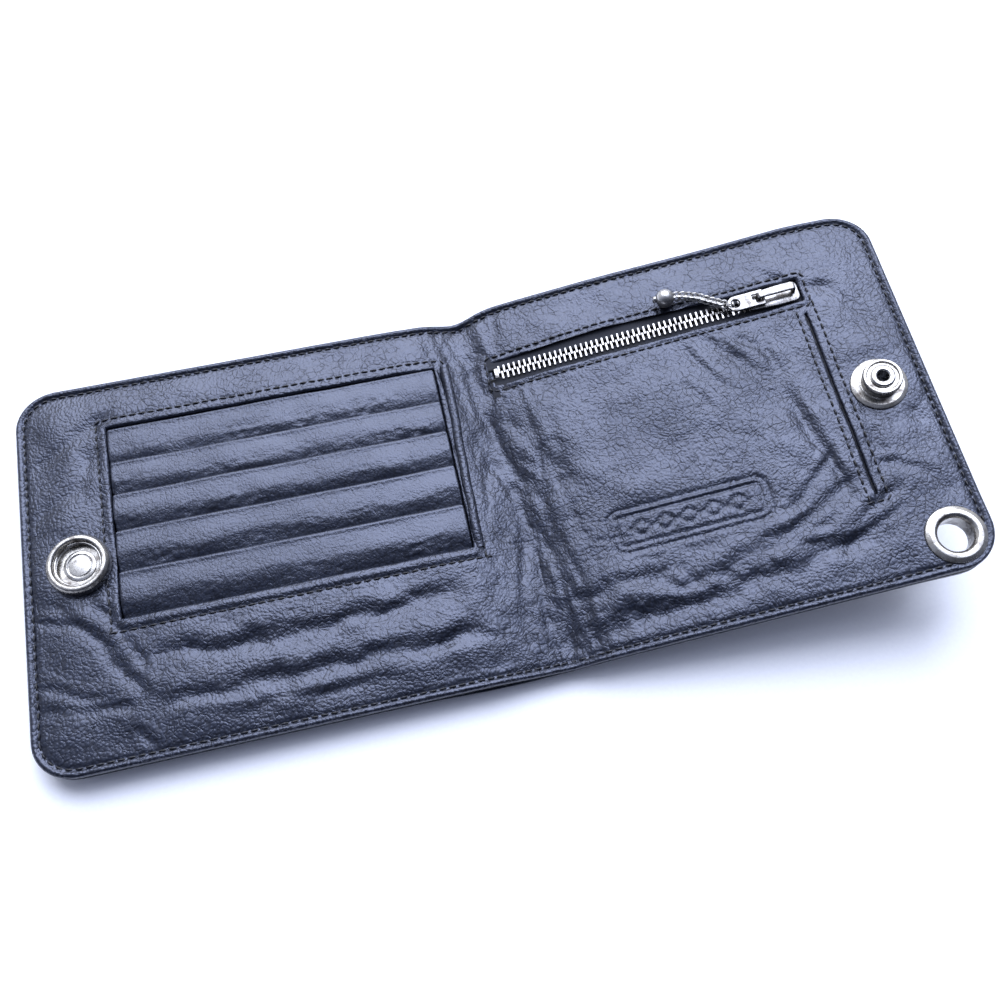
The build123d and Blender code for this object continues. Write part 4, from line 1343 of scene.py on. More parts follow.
@dataclass
class Layer:
    """One hidden or edge-on layer of a panel, or of both across the fold."""

    name: str
    low: tuple[float, float]
    high: tuple[float, float]
    spare: tuple[str, ...]
    slot: str
    material: Material
    region: Optional[tuple[float, float, float, float]] = None
    body: Optional[str] = None
    bend: float = 6.0
    inset: float = 0.1
    step: float = 1.8
    sink: float = 0.0
    follow: float = 0.0
    relief: Optional[Callable[[Array, Array], Array]] = None
    opening: Optional[Window] = None

    def heights(self, s: Array, v: Array, which: tuple[float, float]) -> tuple[Array, Array]:
        """Returns this layer's CAD heights pressed to the panels' real thickness."""
        w_left, w_right = pressed(s, v, *which)
        floor_left, _ = pressed(s, v, *self.low)
        drop_by = self.sink * hump(s, -8.0, 12.5) + self.follow * HIDE.sag(s, v)
        drop_by = np.where(s < 6, np.minimum(drop_by, floor_left - 0.05), drop_by)
        return w_left - drop_by, w_right - drop_by

    def build(self) -> Object:
        """Builds the layer and ties it to its body, or bakes it in place where it has none."""
        w, h = LAYOUT.width, LAYOUT.height / 2
        rim = (0.3, 0.8, 1.5, 2.1, 2.8)
        if self.region is None:
            columns = thin_out(grid_lines(-w, w, self.step, both_ends(-w, w, rim)), 0.1)
            rows = thin_out(row_lines(LAYOUT, self.step, both_ends(-h, h, rim)), 0.1)
            s, v = LAYOUT.round_corners(*np.meshgrid(columns, rows), inset=self.inset)
            s = s * (w - self.inset) / w
        else:
            s0, s1, v0, v1 = self.region
            if abs(v1 - v0) > LAYOUT.height - 1:
                columns = thin_out(grid_lines(s0, s1, self.step, both_ends(s0, s1, rim)), 0.1)
                rows = row_lines(LAYOUT, self.step)
                s, v = LAYOUT.round_corners(*np.meshgrid(columns, rows), inset=self.inset)
                s = s * (w - self.inset) / w
            else:
                columns = grid_lines(s0, s1, self.step)
                rows = grid_lines(v0, v1, self.step)
                s, v = np.meshgrid(columns, rows)
        mid_s, mid_v = middles(s, v)
        keep = ~fitting_holes(mid_s, mid_v, (EYELET,), EYELET_CUT)
        if self.opening:
            keep &= ~self.opening.holds(mid_s, mid_v)
        extra = self.relief(s, v) if self.relief else 0.0
        bottom = [w_ + extra for w_ in self.heights(s, v, self.low)]
        upper = [w_ + extra for w_ in self.heights(s, v, self.high)]
        top = LAYOUT.place(s, v, *upper).reshape(-1, 3)
        low = LAYOUT.place(s, v, *bottom).reshape(-1, 3)
        low[:, 2] = np.maximum(low[:, 2], 0.03)
        faces = grid_faces(*s.shape, keep)
        points, faces = tidy_unused(*shell(top, low, faces))
        obj = make_object(self.name, points, faces, self.material)
        return tie(sharpen(obj, 60), self.slot, *self.spare, body=self.body, reach=self.bend * MM)


def cover_relief(s: Array, v: Array) -> Array:
    """Returns the outer shell's soft waves and crinkles, in mm."""
    d = LAYOUT.edge_distance(s, v)
    calm = np.ones_like(s)
    for spot in FITTINGS:
        calm *= smooth((spot.distance(s, v) - spot.radius) / 5.0)
    wave = 0.3 * noise(s / 24, v / 24, 51) + 0.1 * noise(s / 8, v / 8, 52)
    edge = cell_edges((s + noise(s / 6, v / 6, 53)) / 6.5, (v + noise(s / 6, v / 6, 54)) / 6.5, 55)
    crinkle = 0.16 * hump(edge, 0, 0.12) * (0.2 + 0.6 * hump(s, 0, 25))
    seam = 0.25 * hump(d, LAYOUT.stitch_inset, 0.5)
    return (np.abs(wave) * smooth(d / 8) + crinkle) * calm + seam


def under_face(s: Array, v: Array) -> Array:
    """Returns how the layers under the inner leather follow its folds, in mm."""
    return HIDE.height(s, v) - HIDE.sag(s, v) - 0.12


@dataclass
class Body:
    """The shell, linings, stiffeners and pocket bags that the leather is sewn round."""

    finishes: Finishes

    def layers(self) -> list[Layer]:
        """Returns every layer from the back forwards."""
        f, w, h = self.finishes, LAYOUT.width, LAYOUT.height / 2
        full_left = (-w, -5.2, -h, h)
        full_right = (5.2, w, -h, h)
        return [
            Layer(
                "outer_shell", (1.8, 1.5), (3.4, 3.0),
                ("outer_cover_left", "outer_cover_right", "outer_spine"), "cover_leather", f.cover_leather,
                bend=14.0, inset=0.0, step=0.95, sink=3.0, follow=0.5, relief=cover_relief
            ),
            Layer(
                "shell_lining", (3.45, 3.05), (3.8, 3.4),
                ("cover_lining_left", "cover_lining_right", "spine_lining"), "lining_cloth", f.lining,
                bend=12.0, inset=0.35, sink=1.6, follow=0.8
            ),
            Layer(
                "bill_divider", (3.9, 3.45), (4.6, 4.0), ("divider_left", "divider_right", "divider_spine"),
                "pocket_leather", f.edge, bend=9.0, inset=0.12, sink=0.5, follow=1.0
            ),
            Layer(
                "slip_backing", (4.62, 0), (5.0, 0), ("slip_pocket_backing",), "lining_cloth", f.lining,
                region=full_left, body="left_panel", inset=0.3
            ),
            Layer(
                "left_filler", (5.05, 0), (7.35, 0), ("side_filler_left",), "pocket_leather", f.edge,
                region=full_left, body="left_panel", inset=0.18,
                opening=Window(CARDS.s0 - 1, CARDS.s1 + 3, CARDS.v0 - 4, CARDS.v1 + 1), relief=under_face
            ),
            Layer(
                "right_filler", (0, 4.05), (0, 5.25), ("filler_right",), "pocket_leather", f.edge,
                region=full_right, body="right_panel", inset=0.18,
                opening=Window(ZIP.s0 - 1, ZIP.s1 + 1, SLIT.v0 - 3, ZIP.v1 + 6), relief=under_face
            ),
            Layer(
                "coin_pocket_cloth", (0, 4.05), (0, 4.7), ("coin_pocket_bag",), "lining_cloth", f.lining,
                region=(7.5, 98.5, -36.0, 41.0), body="right_panel", relief=under_face
            ),
            Layer(
                "slit_pocket_cloth", (0, 4.75), (0, 5.0), ("slit_pocket_bag",), "lining_cloth", f.lining,
                region=(30.0, 99.5, -36.0, 27.0), body="right_panel", relief=under_face
            ),
            Layer(
                "slit_backing", (0, 5.02), (0, 5.3), ("slit_facing",), "pocket_leather", f.edge,
                region=(92.0, 99.5, -32.5, 27.5), body="right_panel", relief=under_face
            )
        ]

    def build(self) -> list[Object]:
        made = [layer.build() for layer in self.layers()]
        return made


@dataclass
class CardPockets:
    """Five card pockets, each a strip of thin leather with a folded lip above the next."""

    finishes: Finishes
    lips: tuple[float, ...] = (37.85, 27.8, 18.4, 7.9, -3.6)
    dives: tuple[float, ...] = (0.6, 0.75, 1.15, 1.2, 1.5)
    floor: float = -21.0
    step: float = 0.8
    lip_radius: float = 0.6
    base: float = 6.7
    rise: float = 0.16
    corner: float = 1.9
    thick: float = 0.42
    roll_at: float = -4.3

    def strip(self, k: int) -> Object:
        """Builds one pocket's strip of leather.

        Args:
            k: Its number, 0 at the top.

        Returns:
            The strip.
        """
        lip = self.lips[k]
        below = self.lips[k + 1] if k + 1 < len(self.lips) else CARDS.v0
        s0, s1 = CARDS.s0 + 0.1, CARDS.s1 - 0.2
        corner = self.corner
        columns = grid_lines(s0, s1, self.step, [s0 + x for x in (0.1, 0.3, 0.6, 1.0, 1.6, 2.3)])
        columns = thin_out(
            np.sort(np.concatenate([columns, s1 - np.array([0.1, 0.3, 0.6, 1.0, 1.6])])), 0.08
        )
        offsets = [0.0, 0.08, 0.22, 0.42, 0.68, 1.0, 1.4, 1.9]
        low = max(self.floor, below - 7.0)
        rows = thin_out(grid_lines(low, lip, 0.62, [lip - x for x in offsets]), 0.05)
        s, v = np.meshgrid(columns, rows)
        # The lip's corners are rounded.
        over = np.maximum(corner - (lip - v), 0)
        pull = corner - np.sqrt(np.maximum(corner * corner - over * over, 0))
        middle, half = (s0 + s1) / 2, (s1 - s0) / 2
        s = middle + (s - middle) * (half - pull) / half
        wander = 0.22 * noise(s / 21, np.full_like(s, 3.1 * k), 60 + k)
        across = np.minimum(s - columns[0], columns[-1] - s)
        t = (lip - v) / (lip - below)
        r = self.lip_radius
        roll = r * rolled_over((lip - v) / r)
        side = 0.5 * rolled_over((across + 0.01) / 0.5)
        # A fold is springy: the strip swells under its lip, then dives beneath the next one.
        start = 0.74 - 0.04 * k + 0.12 * noise(s / 17, s * 0 + k, 85)
        dive = self.dives[k] * np.clip((t - start) / (1 - start), 0, 1.4) ** 1.5
        belly = 0.34 * smooth(t / 0.6) + 0.16 * hump(lip - v, 0.8, 0.5) - dive
        if k == 0:
            belly = belly + 0.45 * smooth((t + 0.02) / 0.1)
        patches = 0.35 + 0.65 * smooth(noise(s / 13, v / 13, 70 + k) + 0.4)
        wrinkle = smooth((t - 0.35) / 0.45) * patches
        stir = 1.1 * noise(s / 4, v / 4, 75)
        edge = cell_edges((s + stir) / 2.7, (v + stir) / 1.9, 80 + k)
        fine = cell_edges((s - stir) / 1.6, (v + stir) / 1.2, 90 + k)
        relief = -0.36 * hump(edge, 0, 0.16) * wrinkle - 0.22 * hump(fine, 0, 0.17) * wrinkle
        relief += 0.14 * noise(s / 9, v / 5, 95 + k)
        top = self.base + self.rise * k + 1.3 + belly + relief - roll - side
        top = np.minimum(top, LAYOUT.left_top + 0.4)
        v_real = v + wander
        upper = Side.LEFT.place(s, v_real, top).reshape(-1, 3)
        lower = Side.LEFT.place(s, v_real, self.base + self.rise * k - 0.3).reshape(-1, 3)
        lower[:, 2] = np.maximum(lower[:, 2], 5.05)
        hidden = smooth((lip - 2.0 - v) / 1.0) * (v < below - 0.2)
        lower[:, 2] = np.where(hidden.ravel() > 0.5, top.ravel() - self.thick, lower[:, 2])
        lower[:, 2] = np.minimum(lower[:, 2], upper[:, 2] - 0.15)
        points, faces = shell(upper, lower, grid_faces(*s.shape))
        obj = make_object(f"card_pocket_{k + 1}_leather", points, faces, self.finishes.pocket_leather)
        return tie(sharpen(obj, 70), "pocket_leather", f"card_pocket_{k + 1}", body="left_panel")

    def roll(self) -> Object:
        """Builds the rolled edge that stands beside the pockets, next to the fold."""
        v = np.linspace(CARDS.v0 - 0.4, CARDS.v1 + 0.3, 110)
        s = self.roll_at + 0.55 * np.sin((v - 10) / 17) + 0.25 * noise(v / 9, v * 0, 99)
        w = 8.15 - 0.5 * hump(v, CARDS.v0, 2.5) - 0.5 * hump(v, CARDS.v1, 2.5)
        path = Side.LEFT.place(s, v, w)
        points, faces = tube(path, 1.0, 14)
        points[:, 0] = self.roll_at + (points[:, 0] - self.roll_at) * 1.25
        obj = make_object("rolled_edge", points, faces, self.finishes.leather)
        return tie(sharpen(obj, 60), "pocket_leather", "slip_pocket_roll", body="left_panel")

    def build(self) -> list[Object]:
        """Builds the five strips and the roll."""
        return [self.strip(k) for k in range(len(self.lips))] + [self.roll()]


@dataclass
class Seams:
    """Every line of stitching."""

    finishes: Finishes
    pitch: float = 2.45
    length: float = 1.75
    radius: float = 0.27
    cards_offset: float = 2.6
    zip_offset: float = 1.8
    proud: float = 0.1

    def stitch(self) -> Object:
        """Makes one stitch along X, its ends dipping into their holes."""
        x = np.linspace(-self.length / 2, self.length / 2, 6)
        z = 0.16 - 0.42 * (2 * np.abs(x) / self.length) ** 3
        points, faces = tube(np.stack([x, 0 * x, z], axis=-1), self.radius, 6)
        return make_object("stitch_pattern", points, faces, self.finishes.thread)

    def line(self, name: str, flat: Array, body: Optional[str], below: bool = False) -> Object:
        """Lays one seam.

        Args:
            name: The seam's name.
            flat: Its path as rows of s and v.
            body: The body it rides on, or None where it crosses the fold.
            below: Whether it shows on the outer shell's back instead.

        Returns:
            The seam.
        """
        dense = resample(flat, 0.6)
        s, v = dense[:, 0], dense[:, 1]
        v = zip_gape(s, v)
        if below:
            back = next(layer for layer in Body(self.finishes).layers() if layer.name == "outer_shell")
            left, right = back.heights(s, v, back.low)
            lift = cover_relief(s, v) - self.proud
            path = LAYOUT.place(s, v, left + lift, right + lift)
            path[:, 2] = np.maximum(path[:, 2], 0.3)
        else:
            w_left, w_right = face_height(s, v)
            path = LAYOUT.place(s, v, w_left + self.proud, w_right + self.proud)
        up = Vector(LAYOUT.normal) if body == "right_panel" else Vector((0, 0, -1 if below else 1))
        pattern = self.stitch()
        obj = PathCopies(name, self.pitch, up, wobble=0.07, seed=5).lay(path, pattern, self.finishes.thread)
        drop(pattern)
        return tie(obj, "pocket_leather", body=body)

    def rim_path(self) -> Array:
        """Returns the seam round the whole wallet, as rows of s and v."""
        inset = LAYOUT.stitch_inset
        w, h, r = LAYOUT.width - inset, LAYOUT.height / 2 - inset, LAYOUT.corner - inset
        corners = []
        for cx, cy, start in (
            (w - r, h - r, 0), (-w + r, h - r, 90), (-w + r, -h + r, 180), (w - r, -h + r, 270)
        ):
            angles = np.radians(np.linspace(start, start + 90, 12))
            corners.append(np.stack([cx + r * np.cos(angles), cy + r * np.sin(angles)], axis=-1))
        path = np.concatenate(corners)
        return np.concatenate([path, path[:1]])

    def build(self) -> list[Object]:
        """Lays every seam."""
        rim = self.rim_path()
        cards = CARDS.around(self.cards_offset, 1.0, low_open=True)
        low = np.array([[CARDS.s0 - 2.2, SLIP_SEAM], [CARDS.s1 + 3.2, SLIP_SEAM]])
        zip_path = ZIP.around(self.zip_offset, 1.0)
        slit_in = np.array([[93.4, 25.5], [93.4, -29.5]])
        slit_out = np.array([[98.4, 28.0], [98.4, -30.5], [93.6, -30.5]])
        return [
            self.line("rim_seam", rim, None), self.line("rim_seam_back", rim, None, below=True),
            self.line("card_window_seam", cards, "left_panel"),
            self.line("slip_pocket_seam", low, "left_panel"),
            self.line("zip_window_seam", zip_path, "right_panel"),
            self.line("slit_seam_inner", slit_in, "right_panel"),
            self.line("slit_seam_outer", slit_out, "right_panel")
        ]


def resample(path: Array, step: float) -> Array:
    """Returns a path's points respaced evenly, about a step apart."""
    gaps = np.linalg.norm(np.diff(path, axis=0), axis=1)
    along = np.concatenate([[0], np.cumsum(gaps)])
    even = np.linspace(0, along[-1], max(2, round(along[-1] / step) + 1))
    return np.stack([np.interp(even, along, path[:, k]) for k in range(path.shape[1])], axis=-1)


# ==== Fittings ====


@dataclass
class Snap:
    """The press stud that keeps the wallet shut: socket and cap at one end, stud and post at the other."""

    finishes: Finishes
    spring_radius: float = 5.75
    spring_wire: float = 0.36

    def socket(self) -> list[Object]:
        """Turns the socket's ring, its spring, its rivet and the cap on the back."""
        s, v = SOCKET.centre
        base = LAYOUT.left_top
        ring = rounded(
            [
                (8.0, 0.0, 0.4), (8.0, 2.2, 1.1), (7.3, 3.3, 0.7), (6.35, 3.3, 0.5), (6.0, 2.7, 0.3),
                (6.0, 1.5, 0.2), (6.25, 1.3, 0.1), (6.25, 0.5, 0.2), (5.9, 0.3, 0.2), (0.0, 0.3, 0.0),
                (0.0, 0.0, 0.0)
            ],
            4
        )
        ring_obj = lathe("snap_socket", ring, Side.LEFT, (s, v, base), self.finishes.worn_nickel)
        rivet = rounded(
            [
                (0.0, 0.3, 0.0), (4.1, 0.3, 0.1), (4.1, 0.55, 0.2), (3.25, 0.68, 0.15), (3.0, 0.42, 0.1),
                (2.75, 0.64, 0.15), (0.0, 0.68, 0.0)
            ],
            3
        )
        rivet_obj = lathe("socket_rivet", rivet, Side.LEFT, (s, v, base), self.finishes.nickel, 64)
        angles = np.radians(np.linspace(150, 150 + 322, 90))
        r = self.spring_radius
        path = Side.LEFT.place(s + r * np.cos(angles), v + r * np.sin(angles), base + 1.9)
        points, faces = tube(path, self.spring_wire, 10)
        spring = sharpen(make_object("snap_spring", points, faces, self.finishes.nickel), 60)
        dome = [
            (7.6 * math.sin(a), 1.75 - 1.7 * math.cos(a) ** 0.8) for a in np.linspace(0, math.pi / 2, 16)
        ]
        cap = np.array(dome + [(7.2, 1.95), (0.0, 1.95)])
        cap_obj = lathe("outer_cap", cap, Side.LEFT, (s, v, 0.0), self.finishes.worn_nickel)
        made = [ring_obj, rivet_obj, spring, cap_obj]
        nodes = ("snap_socket_ring", "snap_socket_rivet", "snap_spring_ring", "snap_cap")
        return [tie(obj, "snap_nickel", node, body="left_panel") for obj, node in zip(made, nodes)]

    def stud(self) -> list[Object]:
        """Turns the stud and the post that holds it."""
        s, v = STUD.centre
        stud = rounded(
            [
                (1.95, 0.0, 0.0), (7.25, 0.0, 0.2), (7.25, 0.5, 0.3), (6.2, 0.9, 0.6), (4.5, 0.95, 0.4),
                (4.4, 3.2, 0.4), (5.05, 3.6, 0.4), (5.05, 4.5, 0.5), (4.8, 5.0, 0.3), (4.15, 5.0, 0.25),
                (3.95, 4.55, 0.2), (1.95, 4.5, 0.0)
            ],
            4
        )
        stud_obj = lathe("stud", stud, Side.RIGHT, (s, v, LAYOUT.right_top), self.finishes.worn_nickel)
        post = rounded(
            [
                (1.5, 4.3, 0.1), (1.5, 5.05, 0.25), (1.9, 5.3, 0.2), (2.7, 5.3, 0.35), (3.15, 4.95, 0.3),
                (3.15, 4.5, 0.0), (1.94, 4.4, 0.0), (1.94, -4.75, 0.0), (6.0, -4.8, 0.2), (5.9, -5.3, 0.3),
                (2.2, -5.35, 0.4), (1.5, -4.8, 0.3)
            ],
            4
        )
        post_obj = lathe("stud_post", post, Side.RIGHT, (s, v, LAYOUT.right_top), self.finishes.nickel)
        made = ((stud_obj, "snap_stud"), (post_obj, "snap_stud_post"))
        return [tie(obj, "snap_nickel", node, body="right_panel") for obj, node in made]

    def build(self) -> list[Object]:
        """Builds both halves."""
        return self.socket() + self.stud()


@dataclass
class Eyelet:
    """The rolled eyelet in the corner, for a belt chain's clip, with its washer behind."""

    finishes: Finishes

    def build(self) -> list[Object]:
        """Turns the eyelet and the washer."""
        s, v = EYELET.centre
        barrel = rounded(
            [
                (4.25, -5.3, 0.2), (4.25, 0.2, 1.3), (5.1, 1.05, 0.8), (6.2, 1.0, 0.8), (7.3, 0.55, 0.4),
                (7.5, -0.1, 0.1), (7.3, -0.12, 0.1), (5.0, 0.05, 0.3), (4.75, -0.4, 0.2), (4.75, -5.2, 0.2)
            ],
            4
        )
        eyelet = lathe(
            "rolled_eyelet", barrel, Side.RIGHT, (s, v, LAYOUT.right_top), self.finishes.worn_nickel
        )
        ring = rounded(
            [(4.8, 0.0, 0.1), (7.5, 0.0, 0.2), (7.4, -0.5, 0.25), (5.3, -0.75, 0.3), (4.8, -0.5, 0.1)], 3
        )
        washer = lathe(
            "eyelet_back", ring, Side.RIGHT, (s, v, LAYOUT.right_back), self.finishes.worn_nickel
        )
        made = ((eyelet, "chain_eyelet"), (washer, "eyelet_washer"))
        return [tie(obj, "eyelet_nickel", node, body="right_panel") for obj, node in made]


@dataclass
class Zip:
    """The coin pocket's metal zip: tapes, teeth, stops, slider and the pull's braided chain."""

    finishes: Finishes
    line: float = 33.0
    first: float = 10.7
    pitch: float = 1.5
    count: int = 51
    tape_top: float = 5.28
    tape_back: float = 4.98
    tape_gap: float = 1.35
    link_radii: tuple[float, float] = (1.2, 1.12)
    link_wire: float = 0.26
    core_radius: float = 0.35

    def tape(self, name: str, v0: float, v1: float, node: str) -> Object:
        """Weaves one tape.

        Args:
            name: The tape's name.
            v0: Its edge at the teeth.
            v1: Its sewn edge.
            node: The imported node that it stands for.

        Returns:
            The tape.
        """
        columns = grid_lines(7.6, 98.0, 0.75)
        rows = np.linspace(0, 1, 16)
        s, t = np.meshgrid(columns, rows)
        v = v0 + (v1 - v0) * t
        bead = 0.42 * hump(np.abs(v - v0), 0.35, 0.42)
        w = self.tape_top + bead + 0.1 * noise(s / 8, v / 8, 33) - 0.1 * smooth(t)
        top = Side.RIGHT.place(s, v, w).reshape(-1, 3)
        low = Side.RIGHT.place(s, v, self.tape_back).reshape(-1, 3)
        faces = grid_faces(*s.shape)
        if v1 < v0:
            faces = faces[:, ::-1]
        points, faces = shell(top, low, faces)
        obj = sharpen(make_object(name, points, faces, self.finishes.tape), 60)
        return tie(obj, "zip_tape", node, body="right_panel")

    def tooth(self) -> Object:
        """Makes one tooth, set square to X: a pinched leg on the tape and a rounded head."""
        half, leg, head = 0.29, 2.2, 0.36
        outline = rounded(
            [(-half, -leg, 0.2), (half, -leg, 0.2), (half, head, 0.28), (-half, head, 0.28)], 2
        )
        n = len(outline)
        rings = []
        for scale, z in ((0.86, -0.62), (1.0, -0.48), (1.0, 0.42), (0.82, 0.6)):
            middle = np.array([0.0, (head - leg) / 2])
            ring = middle + (outline - middle) * np.array([scale, 0.5 + 0.5 * scale])
            rings.append(np.column_stack([ring, np.full(n, z)]))
        points = np.concatenate(rings)
        faces: list = []
        for k in range(3):
            faces += [
                (
                    k * n + i, k * n + (i + 1) % n, (k + 1) * n + (i + 1) % n, (k + 1) * n + i
                ) for i in range(n)
            ]
        faces += [tuple(range(n))[::-1], tuple(range(3 * n, 4 * n))]
        obj = make_object("tooth_pattern", points, faces, self.finishes.zip_metal)
        return sharpen(obj, 30)

    def teeth(self, name: str, upper: bool) -> Object:
        """Sets one row of teeth on its tape."""
        pattern = self.tooth()
        start = self.first + (0.0 if upper else self.pitch / 2)
        s = start + self.pitch * np.arange(self.count)
        if upper:
            s = s[::-1]
        path = Side.RIGHT.place(s, self.line, self.tape_top)
        copies = PathCopies(name, self.pitch, Vector(LAYOUT.normal), wobble=0.02, seed=9)
        obj = copies.lay(path, pattern, self.finishes.zip_metal)
        drop(pattern)
        node = "zip_teeth_upper" if upper else "zip_teeth_lower"
        return tie(sharpen(obj, 30), "zip_metal", node, body="right_panel")

    def softened(
        self, node: str, name: str, body: str, slot: str, material: Material, radius: float
    ) -> Object:
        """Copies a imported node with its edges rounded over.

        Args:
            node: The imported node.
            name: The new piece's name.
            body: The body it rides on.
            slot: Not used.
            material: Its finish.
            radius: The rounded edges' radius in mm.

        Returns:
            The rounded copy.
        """
        mesh = frame["nodes"][node].data.copy()
        obj = bpy.data.objects.new(name, mesh)
        bpy.context.scene.collection.objects.link(obj)
        mesh.materials.clear()
        mesh.materials.append(material)
        work = bmesh.new()
        work.from_mesh(mesh)
        bmesh.ops.remove_doubles(work, verts=work.verts, dist=2e-6)
        bmesh.ops.dissolve_limit(work, angle_limit=math.radians(3), verts=work.verts, edges=work.edges)
        for face in work.faces:
            face.material_index = 0
            face.smooth = True
        work.to_mesh(mesh)
        work.free()
        mesh.set_sharp_from_angle(angle=math.radians(35))
        if radius:
            round_edges(obj, radius, 2)
            obj.data.set_sharp_from_angle(angle=math.radians(35))
        return tie(obj, slot, node, body=body)

    def chain(self) -> Object:
        """Lays the pull's braided chain from the tab's ring to the ball."""
        knots = np.array(
            [
                [75.3, 33.9, 7.85], [72.6, 35.6, 7.95], [69.2, 37.9, 8.1], [65.2, 39.4, 8.5],
                [62.0, 39.8, 8.95]
            ]
        )
        even = resample(catmull(knots), 0.25)
        path = Side.RIGHT.place(even[:, 0], even[:, 1], even[:, 2])
        angles = np.linspace(0, 2 * math.pi, 12, endpoint=False)
        wide, narrow = self.link_radii
        ring = np.stack([wide * np.cos(angles), narrow * np.sin(angles), 0 * angles], axis=-1)
        ring = np.concatenate([ring, ring[:2]])
        points, faces = tube(ring[:-1], self.link_wire, 6, caps=False)
        # The last ring of points falls on the first, so the tube closes on itself.
        count = 6 * len(angles)
        faces = [tuple(i % count for i in f) for f in faces]
        points = points[:count]
        link = make_object("link_pattern", points, faces, self.finishes.silver)
        copies = PathCopies(
            "braided_chain", 0.8, Vector(LAYOUT.normal), alternate=math.pi / 2, wobble=0.12, seed=3
        )
        obj = copies.lay(path, link, self.finishes.silver)
        drop(link)
        core_points, core_faces = tube(path, self.core_radius, 8)
        core = make_object("core", core_points, core_faces, self.finishes.silver)
        obj = join("braided_pull_chain", [obj, core])
        return tie(obj, "pull_silver", "pull_chain", body="pull_chain")

    def build(self) -> list[Object]:
        """Builds the whole zip."""
        f = self.finishes
        return [
            self.tape("zip_tape_top", self.line + self.tape_gap, self.line + 8.6, "zip_tape_upper"),
            self.tape("zip_tape_bottom", self.line - self.tape_gap, self.line - 7.0, "zip_tape_lower"),
            self.teeth("upper_teeth", True), self.teeth("lower_teeth", False),
            self.softened("zip_top_stops", "top_stops", "right_panel", "zip_metal", f.zip_metal, 0.12),
            self.softened("zip_bottom_stop", "bottom_stop", "right_panel", "zip_metal", f.zip_metal, 0.12),
            self.softened("zip_slider", "slider_body", "slider", "zip_metal", f.slider_metal, 0.16),
            self.softened("pull_tab", "pull_plate", "pull_tab", "zip_metal", f.slider_metal, 0.14),
            self.softened("pull_link", "pull_ring", "pull_chain", "pull_silver", f.silver, 0.0),
            self.chain(),
            self.softened("pull_ball", "silver_ball", "pull_ball", "pull_silver", f.silver, 0.0),
            self.softened("ball_bead", "end_bead", "pull_ball", "pull_silver", f.silver, 0.0)
        ]


def catmull(knots: Array, steps: int = 12) -> Array:
    """Returns a smooth line through the knots."""
    ends = np.concatenate([[2 * knots[0] - knots[1]], knots, [2 * knots[-1] - knots[-2]]])
    out = []
    for p0, p1, p2, p3 in zip(ends, ends[1:], ends[2:], ends[3:]):
        t = np.linspace(0, 1, steps, endpoint=False)[:, None]
        square = (2 * p0 - 5 * p1 + 4 * p2 - p3) * t**2
        out.append(0.5 * (2 * p1 + (p2 - p0) * t + square + (3 * p1 - p0 - 3 * p2 + p3) * t**3))
    return np.concatenate(out + [knots[-1:]])


# ==== Studio ====


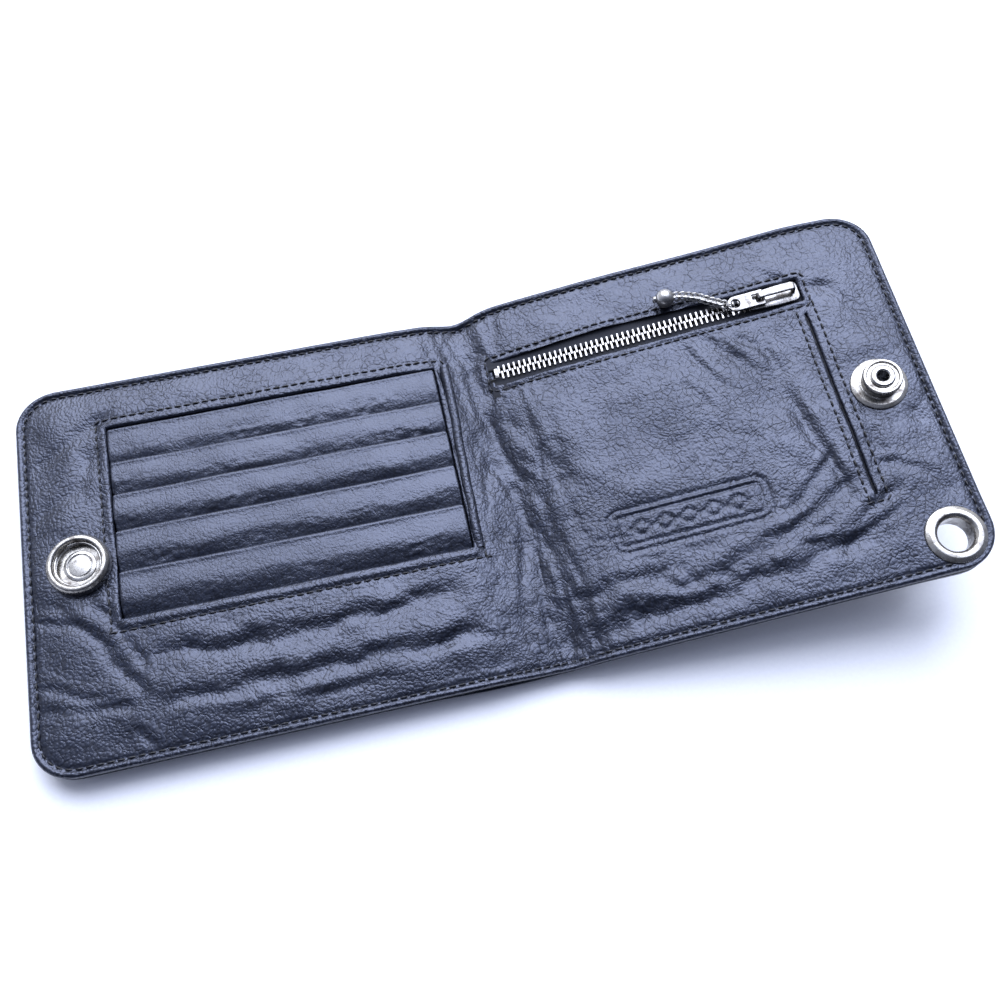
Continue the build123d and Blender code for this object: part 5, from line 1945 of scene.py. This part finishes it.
@dataclass
class Studio:
    """A white sweep, a bright cool room and soft lamps, with the camera."""

    finishes: Finishes
    place: tuple[float, float, float] = (-0.0218, -0.0906, 0.2421)
    forward: tuple[float, float, float] = (0.099, 0.343, -0.934)
    rightward: tuple[float, float, float] = (0.976, -0.219, 0.023)
    lens: float = 33.8

    def camera(self) -> None:
        """Adds the camera."""
        data = bpy.data.cameras.new("camera")
        data.lens = self.lens
        data.sensor_width = 36.0
        data.clip_start = 0.01
        cam = bpy.data.objects.new("camera", data)
        bpy.context.scene.collection.objects.link(cam)
        back = -Vector(self.forward).normalized()
        across = Vector(self.rightward)
        across = (across - back * across.dot(back)).normalized()
        up = back.cross(across)
        turn = Matrix((across, up, back)).transposed().to_4x4()
        cam.matrix_world = Matrix.Translation(self.place) @ turn
        bpy.context.scene.camera = cam

    def lamp(self, name: str, at: tuple, aim: tuple, size: float, watts: float, colour: str) -> None:
        """Adds one large soft lamp.

        Args:
            name: The lamp's name.
            at: Where it stands, in metres.
            aim: What it faces.
            size: Its width in metres.
            watts: Its power.
            colour: Its sRGB colour.
        """
        data = bpy.data.lights.new(name, "AREA")
        data.shape = "DISK"
        data.size = size
        data.energy = watts
        data.color = srgb(colour)[:3]
        obj = bpy.data.objects.new(name, data)
        obj.location = at
        obj.rotation_euler = (Vector(aim) - Vector(at)).to_track_quat("-Z", "Y").to_euler()
        bpy.context.scene.collection.objects.link(obj)

    def build(self) -> None:
        """Sets the sweep, the room, the lamps and the camera."""
        size = 3.0
        corners = np.array([[-size, -size, 0], [size, -size, 0], [size, size, 0], [-size, size, 0]]) / MM
        floor = make_object("paper_floor", corners, [(0, 1, 2, 3)], self.finishes.paper)
        world = bpy.data.worlds.new("bright_room")
        world.use_nodes = True
        tree = world.node_tree
        back = tree.nodes["Background"]
        back.inputs["Strength"].default_value = 1.0
        # The room is bright behind the table and dim on the near side.
        add = partial(add_node, tree)
        split = add("ShaderNodeSeparateXYZ", {0: add("ShaderNodeTexCoord").outputs["Generated"]})
        share = add("ShaderNodeMath", {0: split.outputs[1], 1: 0.5, 2: 0.5}, operation="MULTIPLY_ADD")
        stops = [(0.22, srgb("#4a4f60")), (0.50, srgb("#a9b2cc")), (0.80, srgb("#f2f5ff"))]
        fade = add("ShaderNodeValToRGB", {"Fac": share}, stops)
        tree.links.new(fade.outputs["Color"], back.inputs["Color"])
        bpy.context.scene.world = world
        self.lamp("back_softbox", (0.02, 0.95, 1.15), (0, 0, 0), 1.6, 38.0, "#e6edff")
        self.lamp("side_softbox", (0.5, 0.35, 1.1), (0, 0, 0), 0.8, 6.0, "#dfe8ff")
        bpy.context.scene.view_settings.view_transform = "Standard"
        self.camera()


def main() -> None:
    """Builds the wallet's sub-assemblies in order and logs each piece."""
    logging.basicConfig(level=logging.INFO, format="%(message)s")
    finishes = Finishes()
    Studio(finishes).build()
    for assembly in (
        Body(finishes), InnerLeather(finishes), CardPockets(finishes), Seams(finishes), Snap(finishes),
        Eyelet(finishes), Zip(finishes)
    ):
        made = assembly.build()
        for piece in made if isinstance(made, list) else [made]:
            LOG.info("%s: %s, %d faces", type(assembly).__name__, piece.name, len(piece.data.polygons))


if __name__ == "__main__":
    main()
